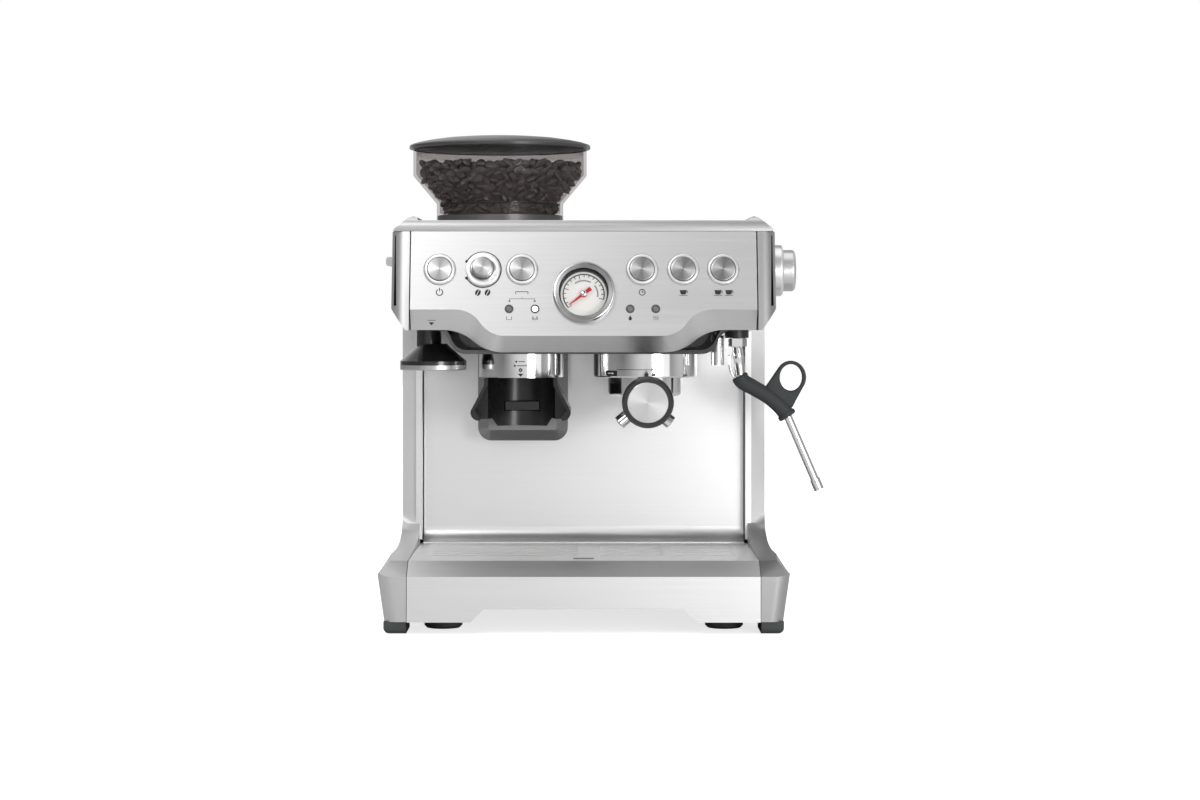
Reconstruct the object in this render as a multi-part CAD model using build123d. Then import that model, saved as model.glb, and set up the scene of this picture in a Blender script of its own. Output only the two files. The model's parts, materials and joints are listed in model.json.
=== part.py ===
from build123d import *
import math
import os

# Espresso machine with a built-in grinder. Millimetres, +Z up, +Y to the rear, +X to the right as seen
# from the front. The pieces are modelled about the machine's own mid-plane, and the last function moves
# them all, so that the origin is at the middle of the whole object's footprint on the worktop.

# ---- overall ----
body_half_width = 150.8     # outer face of a side cover
arm_flare = 8.2              # how far a base arm spreads beyond the body
base_half_width = body_half_width + arm_flare
base_front = -160.0         # front of the drip tray and of the arms
rear_face = 158.0           # back of the side covers and of the rear cover
clear_side = body_half_width + 19.2     # past the covers, where cuts through them end
head_top = 311.0            # seam between the head and the cup tray
floor_gap = 9.5             # height of the feet
foot_round = 5.0
seam = 0.3                  # gap between neighbouring cover panels
air = 0.4                   # gap between a loose piece and what it sits in
shaft_gap = 0.08            # radial running clearance of a shaft in its bore
# ---- side covers and base ----
cover_width = 14.6           # a side cover, from its outer to its inner face
cover_inner = body_half_width - cover_width
sheet = 2.5                 # wall of the covers
column_front = 12.0         # front face of the rear columns
strip_edge = 3.3             # strip beside the splash panel, beyond the cover's inner face
strip_outer = cover_inner + strip_edge
strip_depth = 3.5
arm_top = 57.0              # top of a base arm at the column
arm_nose = 44.5             # height where the front bevel starts
bevel_depth = 20.0          # how far back the front bevel runs
hip_width = 10.7            # slope on the arm's outer edge at its nose
tray_top = 55.0             # top face of the drip grid
cheek_rise = 17.0           # height of the slope under a head cheek
cheek_round = 12.0          # rounding of a cheek's front corner
# ---- head front ----
panel_tilt = 14.0           # lean of the control panel, degrees
panel_foot = Vector(0, -135.0, head_top - 82.0)
panel_gap = 1.0              # between the head's front and its side covers
panel_half_width = cover_inner - panel_gap
panel_depth = 16.0          # depth of the head's front cover
band_centre_drop = 82.0     # seam to the band's upper edge at the middle
band_side_drop = 61.5       # the same at the sides
band_inner, band_outer = 61.0, 100.0        # where the band's upper edge curves up
head_centre_drop = 95.0     # seam to the band's lower edge at the middle
head_side_drop = 77.6       # the same at the sides
step_inner, step_outer = 63.0, 110.0        # where the lower edge curves up
under_drop = 96.4           # seam to the lowest face of the head
under_side_drop = 77.3
under_inner, under_outer = 92.0, 118.0
# ---- cup tray ----
cup_plate = 8.6             # seam to the cup tray's plate
rail_height = 11.8          # seam to the top of its side rails
rail_inset = 16.8            # side rail's inner edge from the body's side
rail_x = body_half_width - rail_inset
cup_pad_rise = 0.6          # the cups' pad above the plate
cup_pad_margin = 12.0       # plate left bare round the pad
# ---- controls, measured from the seam ----
button_drop = 30.4
button_r = 9.6
bezel_width = 2.5
bezel_proud = 2.4
button_proud = 3.2
button_length = 11.0
left_buttons = {"power_button": -112.4, "filter_size_button": -48.2}
right_buttons = {"program_button": 45.6, "one_cup_button": 77.6, "two_cup_button": 108.9}
amount_dial_x = -78.7
amount_dial_r = 8.2
amount_dial_proud = 10.0
gauge_drop = 48.6
gauge_r = 24.5
gauge_rim = 5.0
gauge_depth = 22.0
lamp_drop = 61.0
lamp_r = 3.0
lamp_places = (-58.1, -37.9, 36.2, 56.1)
side_dial_y = -60.0
steam_dial_drop = 30.4
steam_dial_r = 16.6
steam_dial_out = 19.2
steam_bezel_out = 9.2
grind_size_drop = 23.4
grind_size_r = 23.0
grip_bar_out = 6.8
grip_bar_width = 7.3
# ---- splash panel ----
splash_y = 20.0
splash_gap = 2.7             # splash panel's edge from the side cover
splash_half_width = cover_inner - splash_gap
cove_r = 12.0
splash_sheet = 1.5
# ---- brewing group ----
group_x, group_y = 49.5, -60.0
collar_height = 20.0
collar_wall = 5.3
body_r = 30.0               # portafilter body
body_wall = 2.6
body_height = 25.3
lug_reach = 5.8
group_r = body_r + lug_reach + air + collar_wall
lug_height = 4.5
lock_angle = 45.0
basket_wall = 0.8
arm_r, arm_length = 6.0, 14.5    # steel arm between the portafilter and its handle
handle_reach = 131.7        # group axis to the end of the handle
handle_end_r = 19.65
handle_grip_r = 12.5
cap_r = 15.75
# ---- grinder ----
outlet_x, outlet_y = -50.0, -60.0
outlet_r = 34.0
hopper_x, hopper_y = -70.0, 22.0
hopper_neck_r = 52.9
hopper_r = 72.5
hopper_wall = 2.5
spigot_r = 40.0
burr_drop = 36.0             # seam to the burrs
neck_height = 17.7
cone_height = 23.3
bowl_height = 22.0
lid_r = 75.6
lid_edge = 4.0
lid_dome = 7.0
# ---- cradle under the grinder outlet ----
cradle_half = 29.0
wing_half = 39.6
cradle_front = -92.0
frame_half = 36.9            # bracket behind the cradle
frame_height = 53.8
cradle_back = -22.0
cradle_height = 34.0
lip_height = 40.4
wing_wall = 3.0
cradle_bore = 27.0
switch_width, switch_height = 28.5, 7.6
# ---- tamper ----
tamper_inset, tamper_y = 30.3, -70.0
tamper_x = tamper_inset - body_half_width
tamper_r = 26.5
tamper_stem_r = 10.0
tamper_stem_inset = 26.8
tamper_stem_x = tamper_stem_inset - body_half_width
# ---- steam wand and hot water ----
water_x, water_y = 107.0, -75.0
water_r = 5.35
wand_inset, wand_y = 28.8, -80.0
wand_x = body_half_width - wand_inset
wand_drop = 88.5            # seam to the centre of the wand's ball
ball_r = 5.0
wand_tube_r = 3.4
wand_bends = ((0, 0), (3.2, 28), (24, 41), (40, 56.5), (65.8, 116.5))      # across, down
loop_place = (42, 27.5)      # across and down from the ball
loop_thick = 6.8
tilt_pin_r = 0.8             # bore through the ball, on the line that the wand tilts about
grip_r = 6.4
# ---- water tank ----
tank_half_width = 112.0
tank_front = 101.0
tank_rear = 156.5
tank_floor = 60.0
tank_top = 317.5
tank_wall = 2.5
shelf_top = 58.0
lid_sheet = 4.0
lid_hinge_y = tank_rear - lid_sheet / 2
# ---- drip tray ----
pan_floor = 21.0
pan_wall = 2.2
grid_sheet = 2.0
front_sheet = 2.5
notch_low, notch_high = 88.0, 76.5
notch_top = 19.5
slot_width = 4.2
slot_rows = 6

tilt = math.radians(panel_tilt)
panel = Plane(origin=panel_foot, x_dir=(1, 0, 0), z_dir=(0, -math.cos(tilt), math.sin(tilt)))


# ---- helpers ----
def block(x0, x1, y0, y1, z0, z1):
    return Pos((x0 + x1) / 2, (y0 + y1) / 2, (z0 + z1) / 2) * Box(x1 - x0, y1 - y0, z1 - z0)


def rod(r, x, y, z0, z1):
    return Pos(x, y, (z0 + z1) / 2) * Cylinder(r, z1 - z0)


def tube(r_out, r_in, x, y, z0, z1):
    return rod(r_out, x, y, z0, z1) - rod(r_in, x, y, z0 - 1, z1 + 1)


def side_rod(r, y, z, x0, x1):
    return Pos((x0 + x1) / 2, y, z) * Rot(0, 90, 0) * Cylinder(r, x1 - x0)


def back_rod(r, x, z, y0, y1):
    return Pos(x, (y0 + y1) / 2, z) * Rot(90, 0, 0) * Cylinder(r, y1 - y0)


def panel_height(drop):
    """Distance up the control panel of a point this far below the head's seam."""
    return (head_top - drop - panel_foot.Z) / math.cos(tilt)


def panel_rod(r, x, drop, w0, w1):
    """A cylinder square to the control panel; w is the distance out of it."""
    return panel.location * Pos(x, panel_height(drop), (w0 + w1) / 2) * Cylinder(r, w1 - w0)


def side_prism(points, x0, x1):
    """A solid with a (y, z) outline, from x0 to x1."""
    outline = make_face(Polyline(*points, close=True))
    return extrude(Plane.YZ.offset(x0) * outline, amount=x1 - x0)


def front_prism(outline, y0, y1):
    """A solid with an (x, z) outline, from y0 to y1."""
    return extrude(Plane.XZ.offset(-y1) * outline, amount=y1 - y0)


def turned(points, x=0, y=0, z=0):
    """A solid of revolution about a vertical axis from (radius, height) points."""
    outline = make_face(Polyline(*points, close=True))
    return Pos(x, y, z) * revolve(Plane.XZ * outline, axis=Axis.Z)


def mirrored(solid):
    return mirror(solid, about=Plane.YZ)


def one(shape):
    """The single solid of a boolean result."""
    return shape.solids()[0]


def step_curve(x_a, z_a, x_b, z_b):
    """Two equal arcs, level at both ends."""
    middle = ((x_a + x_b) / 2, (z_a + z_b) / 2)
    way = math.copysign(1, x_b - x_a)
    first = TangentArc((x_a, z_a), middle, tangent=(way, 0))
    return first + TangentArc((x_b, z_b), middle, tangent=(-way, 0))


def lower_edge(half_width, z_side, z_centre, x_in, x_out):
    """The head's lower edge: low in the middle, stepped up at both sides."""
    lines = Line((-half_width, z_side), (-x_out, z_side))
    lines += step_curve(-x_out, z_side, -x_in, z_centre)
    lines += Line((-x_in, z_centre), (x_in, z_centre))
    lines += step_curve(x_in, z_centre, x_out, z_side)
    lines += Line((x_out, z_side), (half_width, z_side))
    return lines


def head_shape(half_width, side_drop, centre_drop, top_drop, x_in, x_out, w):
    """Front outline of the head's cover, in the plane that lies w in front of the control panel."""
    def up(drop):
        return panel_height(drop) - w * math.tan(tilt)
    top, side = up(top_drop), up(side_drop)
    lines = lower_edge(half_width, side, up(centre_drop), x_in, x_out)
    lines += Line((half_width, side), (half_width, top))
    lines += Line((half_width, top), (-half_width, top))
    lines += Line((-half_width, top), (-half_width, side))
    return panel.location * Pos(0, 0, w) * make_face(lines)


# ---- casings ----
def panel_block(inset, front, back):
    """The head's front cover as a full block between two depths, its band leaning back to the lower edge."""
    half = panel_half_width - inset
    top = seam + inset
    upper = head_shape(half, band_side_drop - inset, band_centre_drop - inset, top,
                       band_inner, band_outer, front)
    lower = head_shape(half, head_side_drop - inset, head_centre_drop - inset, top,
                       step_inner, step_outer, back)
    return loft([upper, lower], ruled=True)


def head_fascia():
    cover = panel_block(0, 0, -panel_depth) - panel_block(front_sheet, -front_sheet, -panel_depth - 0.5)
    for x in (*left_buttons.values(), amount_dial_x, *right_buttons.values()):
        cover -= panel_rod(button_r + bezel_width - 1, x, button_drop, -6, 6)
    cover -= panel_rod(gauge_r - 2, 0, gauge_drop, -6, 6)
    for x in lamp_places:
        cover -= panel_rod(lamp_r, x, lamp_drop, -6, 6)
    return one(cover)


def head_underside():
    """The dark plastic body that closes the head from below."""
    half = splash_half_width
    low, side = head_top - under_drop, head_top - under_side_drop
    wall = 3.0
    lines = lower_edge(half, side, low, under_inner, under_outer)
    lines += Line((half, side), (half, side + wall))
    lines += lower_edge(half, side + wall, low + wall, under_inner - 1, under_outer - 1)
    lines += Line((-half, side), (-half, side + wall))
    plate = front_prism(make_face(lines), panel_foot.Y, splash_y - 1)
    behind = panel.location * Pos(0, 0, -panel_depth - 0.8 - 200) * Box(600, 600, 400)
    plate = one(plate & behind)
    plate -= rod(tamper_stem_r + 0.8, tamper_stem_x, tamper_y, side - 5, side + 20)
    plate -= rod(water_r + shaft_gap, water_x, water_y, low - 5, side + 20)
    plate -= rod(ball_r + 5, wand_x, wand_y, low, side + 20)
    plate -= rod(12, outlet_x, outlet_y, low - 5, low + 10)
    plate -= rod(3.5, group_x, group_y, low - 5, low + 10)
    return one(plate)


def cover_profile(inset=0.0):
    """Side view of a side cover: base arm, column and head, open to the front between them."""
    def slope(z):
        return panel_foot.Y + 0.8 + (z - panel_foot.Z) * math.tan(tilt)
    low = head_top - head_side_drop
    d = inset
    points = [
        (base_front + d, floor_gap + d),
        (base_front + d, arm_nose - d / 2),
        (base_front + bevel_depth + d / 2, tray_top - d),
        (-60 + d, arm_top - d),
        (-20 + d, arm_top + 3 - d),
        (0 + d, arm_top + 8 - d),
        (column_front - 4 + d, arm_top + 14 - d),
        (column_front + d, arm_top + 24 - d),
        (column_front + d, low - 1 + d),
        (slope(low) + d, low + d),
        (slope(head_top) + d, head_top - seam - d),
        (rear_face - d, head_top - seam - d),
        (rear_face - d, floor_gap + d),
    ]
    return points


def arm_block():
    """Plan shape of the whole right side: flared to the base's front corner, leaning out below."""
    def outline(front, wide, neck, back, z):
        edge = Spline((wide, front + 12), (neck + 2.2, front + 60), (back, -60), (back, -20))
        lines = Line((cover_inner, front), (wide - 11, front))
        lines += ThreePointArc((wide - 11, front), (wide - 3, front + 3.4), (wide, front + 12))
        lines += edge
        lines += Line((back, -20), (back, rear_face))
        lines += Line((back, rear_face), (cover_inner, rear_face))
        lines += Line((cover_inner, rear_face), (cover_inner, front))
        return Plane.XY.offset(z) * make_face(lines)
    low = outline(base_front + 3, base_half_width - 5, body_half_width - 1.6, body_half_width - 1.6,
                  floor_gap)
    high = outline(base_front, base_half_width, body_half_width, body_half_width, arm_nose + 1.5)
    lower = loft([low, high], ruled=True)
    upper = extrude(high, amount=40)
    return lower + upper


def cheek_front():
    """Room for the head's side: rounded at its front corner, leaning with the control panel."""
    up = Vector(0, math.sin(tilt), math.cos(tilt))
    wide, depth, r = body_half_width, 0.8, cheek_round
    lines = Line((0, depth), (wide - r, depth))
    lines += TangentArc((wide - r, depth), (wide, depth + r), tangent=(1, 0))
    lines += Line((wide, depth + r), (wide, 400))
    lines += Line((wide, 400), (0, 400))
    lines += Line((0, 400), (0, depth))
    plan = Plane(origin=panel_foot - up * 90, x_dir=(1, 0, 0), z_dir=up)
    return extrude(plan * make_face(lines), amount=260)


def arm_hip():
    """What is cut off the arm's upper outer edge: a slope that fades out towards the column."""
    def corner(y, x_in, x_out, z_in, z_out):
        points = [(x_in, y, z_in), (x_out, y, z_out), (clear_side, y, z_out), (clear_side, y, 100), (x_in, y, 100)]
        return make_face(Polyline(*points, close=True))
    nose = corner(base_front - 1, base_half_width - hip_width, base_half_width, tray_top, arm_nose)
    tail = corner(0, body_half_width + 0.1, body_half_width + 1, arm_top + 8, arm_top + 7)
    return loft([nose, tail], ruled=True)


def side_cover_right():
    whole = side_prism(cover_profile(), cover_inner, base_half_width + 5)
    column = block(cover_inner, body_half_width, -180, 180, 85, 400)
    shell = whole & (arm_block() + column)
    shell = one(shell)
    # cheek: sloped underneath and rounded at the front corner
    low = head_top - head_side_drop
    wedge = make_face(Polyline((cover_inner + 2, low - 1), (body_half_width + 1, low - 1),
                               (body_half_width + 1, low + cheek_rise), (body_half_width, low + cheek_rise),
                               close=True))
    shell -= front_prism(wedge, -clear_side, column_front)
    shell = one(one(shell) - arm_hip())
    shell &= cheek_front() + block(0, 400, -200, 400, 0, low - 2)
    shell = one(shell)
    # hollow it from the inside, and the arm from below
    hollow = side_prism(cover_profile(3.0), cover_inner - 1, body_half_width - sheet)
    behind = block(0, 400, column_front + 3, 400, 0, 400)
    above = block(0, 400, -200, 400, low + cheek_rise + 2, 400)
    hollow &= behind + above
    shell -= hollow
    shell -= block(cover_inner + sheet, body_half_width - sheet, base_front + 25, column_front - 6,
                   0, arm_nose - 4)
    shell = one(shell)
    # strip beside the splash panel
    strip = block(splash_half_width + 0.8, strip_outer, column_front - strip_depth, column_front + 4,
                  arm_top + 0.8, low - 1.2)
    shell = one(shell + strip)
    z = head_top - steam_dial_drop
    return one(shell - side_rod(6, side_dial_y, z, cover_inner - 2, clear_side))


def side_cover_left():
    shell = side_cover_right()
    z = head_top - steam_dial_drop
    shell += side_rod(6.0, side_dial_y, z, body_half_width - sheet, body_half_width)
    shell = mirrored(one(shell))
    z = head_top - grind_size_drop
    return one(shell - side_rod(grind_size_r + air, side_dial_y, z, -clear_side, -cover_inner + 2))


def splash_panel():
    top = head_top - under_side_drop + 1
    y, z = splash_y, tray_top + 1
    t = splash_sheet
    axis_y, axis_z = y - cove_r, z + cove_r
    inner, outer = cove_r * math.sqrt(0.5), (cove_r + t) * math.sqrt(0.5)
    lines = Line((y, top), (y, axis_z))
    lines += ThreePointArc((y, axis_z), (axis_y + inner, axis_z - inner), (axis_y, z))
    lines += Line((y - cove_r, z), (y - cove_r, z - t))
    lines += ThreePointArc((axis_y, z - t), (axis_y + outer, axis_z - outer), (y + t, axis_z))
    lines += Line((y + t, z + cove_r), (y + t, top))
    lines += Line((y + t, top), (y, top))
    face = Plane.YZ.offset(-splash_half_width) * make_face(lines)
    return one(extrude(face, amount=2 * splash_half_width))


def base_pan():
    """Floor of the base: two prongs under the tray and a deck behind it, with a low wall."""
    half = cover_inner - 0.7
    deck = block(-half, half, base_front + 12, rear_face - 3.5, floor_gap, floor_gap + 3)
    deck -= block(-notch_low - 2, notch_low + 2, base_front, -60, floor_gap - 1, floor_gap + 5)
    for side in (-1, 1):
        rail = block(notch_low + 6, notch_low + 9, base_front + 14, 0, floor_gap + 2, pan_floor - air)
        deck += rail if side > 0 else mirrored(rail)
    deck += block(-half + 2, half - 2, splash_y - 8, splash_y - 5, floor_gap + 2, tray_top - 2)
    return one(deck)


def rear_cover():
    """Back of the machine, with the bay that holds the water tank."""
    half = cover_inner - seam
    bay = tank_half_width + 5
    wall = 3.0
    front = tank_front - 4
    top = head_top - seam
    cover = block(-half, half, front - wall, front, floor_gap + 3, top)
    cover += block(-half, half, front - 1, rear_face, shelf_top - wall, shelf_top)
    cover += block(-half, half, rear_face - wall, rear_face, floor_gap + 3, shelf_top)
    for side in (-1, 1):
        cheek = block(bay, half, front - 1, rear_face, shelf_top - 1, top)
        cheek -= block(bay + wall, half - wall, front + wall, rear_face - wall, shelf_top + 2, top - 3)
        cheek -= block(bay + wall, half - wall, front + wall, rear_face - 20, 0, shelf_top + 40)
        cover += cheek if side > 0 else mirrored(cheek)
    cover -= rod(7, 40, (tank_front + tank_rear) / 2, shelf_top - 6, shelf_top + 2)
    cover -= back_rod(5, 95, 32, rear_face - 10, rear_face + 2)
    return one(cover)


def cup_tray():
    """Warming tray on top: a hollow sheet lid with a rail along each side."""
    z, plate, rail = head_top, head_top + cup_plate, head_top + rail_height
    half = body_half_width - 1.2
    right = [(rail_x - 4, plate), (rail_x - 3, rail - 0.8), (rail_x, rail), (rail_x + 4, rail - 1.2),
             (half - 1, z + 2), (half, z)]
    outer = right + [(-x, h) for x, h in reversed(right)]
    inner = [(rail_x + 1, z - 1), (rail_x + 1, plate - 2), (-rail_x - 1, plate - 2), (-rail_x - 1, z - 1)]
    front = panel_foot.Y + (head_top - panel_foot.Z) * math.tan(tilt) + 0.8
    tray = front_prism(make_face(Polyline(*outer, close=True)), front, rear_face)
    lines = Line((front, z - 1), (front, z + 2))
    lines += TangentArc((front, z + 2), (front + 9, rail + 0.5), tangent=(0, 1))
    lines += Line((front + 9, rail + 0.5), (rear_face, rail + 0.5))
    lines += Line((rear_face, rail + 0.5), (rear_face, z - 1))
    lines += Line((rear_face, z - 1), (front, z - 1))
    tray &= extrude(Plane.YZ.offset(-half - 1) * make_face(lines), amount=2 * half + 2)
    tray -= front_prism(make_face(Polyline(*inner, close=True)), front + 8, rear_face - 3)
    pad = block(hopper_x + lid_r + 3, rail_x - cup_pad_margin, front + 9 + cup_pad_margin,
                tank_front - cup_pad_margin, plate - 1, plate + cup_pad_rise)
    tray += fillet(pad.edges().filter_by(Axis.Z), 4)
    tray -= rod(spigot_r + 1, hopper_x, hopper_y, z - 5, z + 20)
    tray -= block(-tank_half_width - 2, tank_half_width + 2, tank_front - 2, rear_face + 1, z - 5, z + 20)
    return one(tray)


def rubber_feet():
    """Two corner feet under the arms, two pads behind the tray's front and two at the rear."""
    outer = base_half_width - 5
    foot = block(cover_inner + 0.5, outer, base_front + 5, base_front + 50, 0, floor_gap)
    bottom = foot.edges().group_by(Axis.Z)[0]
    foot = fillet([bottom.sort_by(Axis.X)[-1], bottom.sort_by(Axis.Y)[0]], foot_round)
    pads = [foot, mirrored(foot)]
    for x, y in ((cover_inner - 26, base_front + 50), (cover_inner - 24, rear_face - 30)):
        pad = rod(15, x, y, 0, floor_gap)
        pad = chamfer(pad.edges().group_by(Axis.Z)[0], 2)
        pads += [pad, mirrored(pad)]
    return Compound([one(p) for p in pads])


# ---- controls ----
def control_bezels():
    """Fixed rings round the panel's buttons and dial, and round the steam dial."""
    rings = []
    for x in (*left_buttons.values(), amount_dial_x, *right_buttons.values()):
        r = button_r + bezel_width - 1 - shaft_gap
        extra = 1.5 if x == amount_dial_x else 0
        ring = panel_rod(r + 1 + shaft_gap + extra, x, button_drop, 0, bezel_proud)
        ring = one(ring)
        ring = fillet(ring.edges().sort_by(Axis.Y)[0], 1.2)
        ring += panel_rod(r, x, button_drop, -5, 0.5)
        bore = amount_dial_r if x == amount_dial_x else button_r
        rings.append(one(ring - panel_rod(bore + air, x, button_drop, -8, 8)))
    z = head_top - steam_dial_drop
    out = body_half_width + steam_bezel_out
    ring = one(side_rod(steam_dial_r + 4, side_dial_y, z, body_half_width, out))
    ring = fillet(ring.edges().sort_by(Axis.X)[-1], 2.5)
    ring -= side_rod(steam_dial_r + 0.6, side_dial_y, z, body_half_width + 3, out + 1)
    ring -= side_rod(4 + shaft_gap, side_dial_y, z, cover_inner, out)
    rings.append(one(ring))
    return Compound(rings)


def push_button(x):
    """Flat steel cap with a softened edge on a plastic stem."""
    cap = one(panel_rod(button_r, x, button_drop, button_proud - button_length, button_proud))
    cap = fillet(cap.edges().sort_by(Axis.Y)[0], 0.8)
    stem = panel_rod(3.5, x, button_drop, button_proud - button_length - 3, button_proud - button_length + 1)
    return one(cap + stem)


def grind_amount_dial():
    r = amount_dial_r
    knob = one(panel_rod(r, amount_dial_x, button_drop, -8, amount_dial_proud))
    knob = fillet(knob.edges().sort_by(Axis.Y)[0], 1.5)
    notch = panel.location * Pos(amount_dial_x, panel_height(button_drop) + r - 2, amount_dial_proud)
    knob -= notch * Box(1.6, 5, 1.2)
    return one(knob)


def grind_size_dial():
    """Round inset with a bar across it to turn it by."""
    z = head_top - grind_size_drop
    x = body_half_width
    disc = side_rod(grind_size_r, side_dial_y, z, -x + 0.2, -x + 4)
    reach, half = grind_size_r - 1.5, grip_bar_width / 2
    bar = block(-x - grip_bar_out, -x + 2, side_dial_y - reach, side_dial_y + reach, z - half, z + half)
    bar = fillet(one(bar).edges().filter_by(Axis.Y).group_by(Axis.X)[0], 2.5)
    return one(disc + bar + side_rod(4, side_dial_y, z, -x + 3, -x + 26))


def steam_dial():
    z = head_top - steam_dial_drop
    x = body_half_width
    knob = one(side_rod(steam_dial_r, side_dial_y, z, x + 3.4, x + steam_dial_out))
    knob = fillet(knob.edges().sort_by(Axis.X)[-1], 3)
    mark = block(x + steam_dial_out - 0.8, x + steam_dial_out + 1, side_dial_y - 0.9, side_dial_y + 0.9,
                 z + 3, z + steam_dial_r - 3)
    return one(knob + side_rod(4, side_dial_y, z, x - 20, x + 4) - mark)


def gauge_bezel():
    """Chromed ring and the case behind it."""
    ring = one(panel_rod(gauge_r, 0, gauge_drop, 0, gauge_rim))
    ring = fillet(ring.edges().sort_by(Axis.Y)[0], 2.2)
    case = panel_rod(gauge_r - 2 - shaft_gap, 0, gauge_drop, -gauge_depth, 0.5)
    room = panel_rod(gauge_r - gauge_rim, 0, gauge_drop, -gauge_depth + 3, 9)
    return one(ring + case - room)


def gauge_dial():
    plate = panel_rod(gauge_r - gauge_rim, 0, gauge_drop, -6, -4.5)
    for turn in (-1, 1):
        plate += panel_rod(0.9, 3.5 * turn, gauge_drop + 12.5, -5, -4)
    return one(plate - panel_rod(0.8 + shaft_gap, 0, gauge_drop, -8, -3))


def gauge_lens():
    glass = one(panel_rod(gauge_r - gauge_rim, 0, gauge_drop, 1.5, 3.4))
    return one(fillet(glass.edges().sort_by(Axis.Y)[0], 0.8))


def gauge_needle():
    """Pointer with a thin end to the lower left and a thick short tail."""
    centre = panel.location * Pos(0, panel_height(gauge_drop), -2.7) * Rot(0, 0, 218)
    outline = make_face(Polyline((-7, -1.6), (-1, -1.1), (14, -0.25), (14, 0.25), (-1, 1.1), (-7, 1.6),
                                 close=True))
    needle = centre * extrude(outline, amount=0.7, both=True)
    hub = panel_rod(2.6, 0, gauge_drop, -3.8, -1.2)
    return one(needle + hub + panel_rod(0.8, 0, gauge_drop, -8, -3))


def indicator_lamps():
    lamps = []
    for x in lamp_places:
        lamp = one(panel_rod(lamp_r - shaft_gap, x, lamp_drop, -5, 1.2))
        lamps.append(one(fillet(lamp.edges().sort_by(Axis.Y)[0], 0.8)))
    return Compound(lamps)


# ---- grinder ----
def grinder_outlet_collar():
    top = head_top - under_drop
    collar = tube(outlet_r, outlet_r - 6, outlet_x, outlet_y, top - collar_height + 0.6, top)
    collar += tube(outlet_r - 3, 10, outlet_x, outlet_y, top - 3, top)
    return one(collar)


def outlet_low():
    return head_top - under_drop - collar_height + 0.6


def cradle_outline():
    """Front view of the cradle: straight at the top, flared wings and a lip below."""
    top, base, lip = outlet_low(), outlet_low() - cradle_height, outlet_low() - lip_height
    right = Line((cradle_half, top), (cradle_half, top - 6))
    right += Line((cradle_half, top - 6), (wing_half, base + 8))
    right += ThreePointArc((wing_half, base + 8), (wing_half - 1.6, base + 2), (wing_half - 7, base))
    right += Line((wing_half - 7, base), (24, base))
    right += Line((24, base), (20, lip))
    right += Line((20, lip), (0, lip))
    right += Line((0, lip), (0, top))
    right += Line((0, top), (cradle_half, top))
    half = make_face(right)
    return half + mirror(half, about=Plane.YZ)


def cradle_room():
    """The space between the wings, open below."""
    top, base = outlet_low() + 1, outlet_low() - cradle_height
    narrow, wide = cradle_half - wing_wall, wing_half - wing_wall
    right = [(narrow, top), (narrow, top - 7), (wide, base + 8), (wide - 4, base + 3), (wide - 4, base - 20)]
    left = [(-x, z) for x, z in reversed(right)]
    return make_face(Polyline(*right, *left, close=True))


def grind_cradle():
    solid = Pos(outlet_x, 0, 0) * front_prism(cradle_outline(), cradle_front, cradle_back)
    room = Pos(outlet_x, 0, 0) * front_prism(cradle_room(), cradle_front - 1, outlet_y)
    solid -= room
    solid -= rod(cradle_bore, outlet_x, outlet_y, 0, outlet_low() + 1)
    z = outlet_low() - cradle_height + 6
    solid -= block(outlet_x - switch_width / 2 - air, outlet_x + switch_width / 2 + air,
                   outlet_y, cradle_back - 3, z - air, z + switch_height + air)
    return one(solid)


def grind_switch():
    """Bar at the back of the cradle that the portafilter pushes."""
    z = outlet_low() - cradle_height + 6
    front = outlet_y + cradle_bore - 2.5
    half = switch_width / 2
    bar = block(outlet_x - half, outlet_x + half, front, front + 5, z, z + switch_height)
    return one(fillet(one(bar).edges().group_by(Axis.Y)[0], 0.8))


def cradle_frame():
    """Bevelled bracket between the splash panel and the cradle."""
    half = frame_half
    low = outlet_low() - frame_height
    top = head_top - under_drop - 0.3
    outline = make_face(Polyline((-half, low), (half, low), (half, top), (-half, top), close=True))
    solid = one(front_prism(outline, cradle_back, splash_y))
    solid = fillet(solid.edges().filter_by(Axis.Y).group_by(Axis.Z)[0], 11)
    front = solid.faces().sort_by(Axis.Y)[0]
    rim = [e for e in front.edges() if e.center().Z < top - 1]
    solid = chamfer(rim, 9)
    solid -= front_prism(Pos(0, low + 40) * Rectangle(44, 44), cradle_back + 12, splash_y + 1)
    return one(Pos(outlet_x, 0, 0) * solid)


def grinder_case():
    """Cup that holds the burrs, with the chute to the outlet."""
    x, y = hopper_x, hopper_y
    base, top = head_top - 68, head_top + cup_plate - 2.6
    case = tube(spigot_r + 5, spigot_r + air, x, y, base, top)
    case += rod(spigot_r + 1, x, y, base, base + 5)
    duct = block(outlet_x - 14, outlet_x + 14, outlet_y - 14, y - spigot_r - 2, base, base + 22)
    duct += block(outlet_x - 14, outlet_x + 14, outlet_y - 14, outlet_y + 14,
                  head_top - under_drop + 3.2, base + 2)
    case += duct
    case -= block(outlet_x - 11, outlet_x + 11, outlet_y - 11, y - spigot_r + 6, base + 6, base + 19)
    case -= block(outlet_x - 11, outlet_x + 11, outlet_y - 11, outlet_y + 11, 0, base + 10)
    case -= rod(4 + shaft_gap, x, y, base - 5, base + 8)
    return one(case)


def grinder_motor():
    top = head_top - 70
    motor = rod(31, hopper_x, splash_y + 38, top - 110, top)
    motor += rod(5, hopper_x, splash_y + 38, top - 122, top)
    return one(motor)


def upper_burr():
    base = head_top - burr_drop
    ring = turned([(37, 0), (spigot_r - 0.4, 0), (spigot_r - 0.4, 16), (24, 16), (19, 8), (29, 0)],
                  hopper_x, hopper_y, base)
    ring += turned([(24, 10), (spigot_r - 0.4, 10), (spigot_r - 0.4, 16), (24, 16)],
                   hopper_x, hopper_y, base)
    return one(ring)


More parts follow.
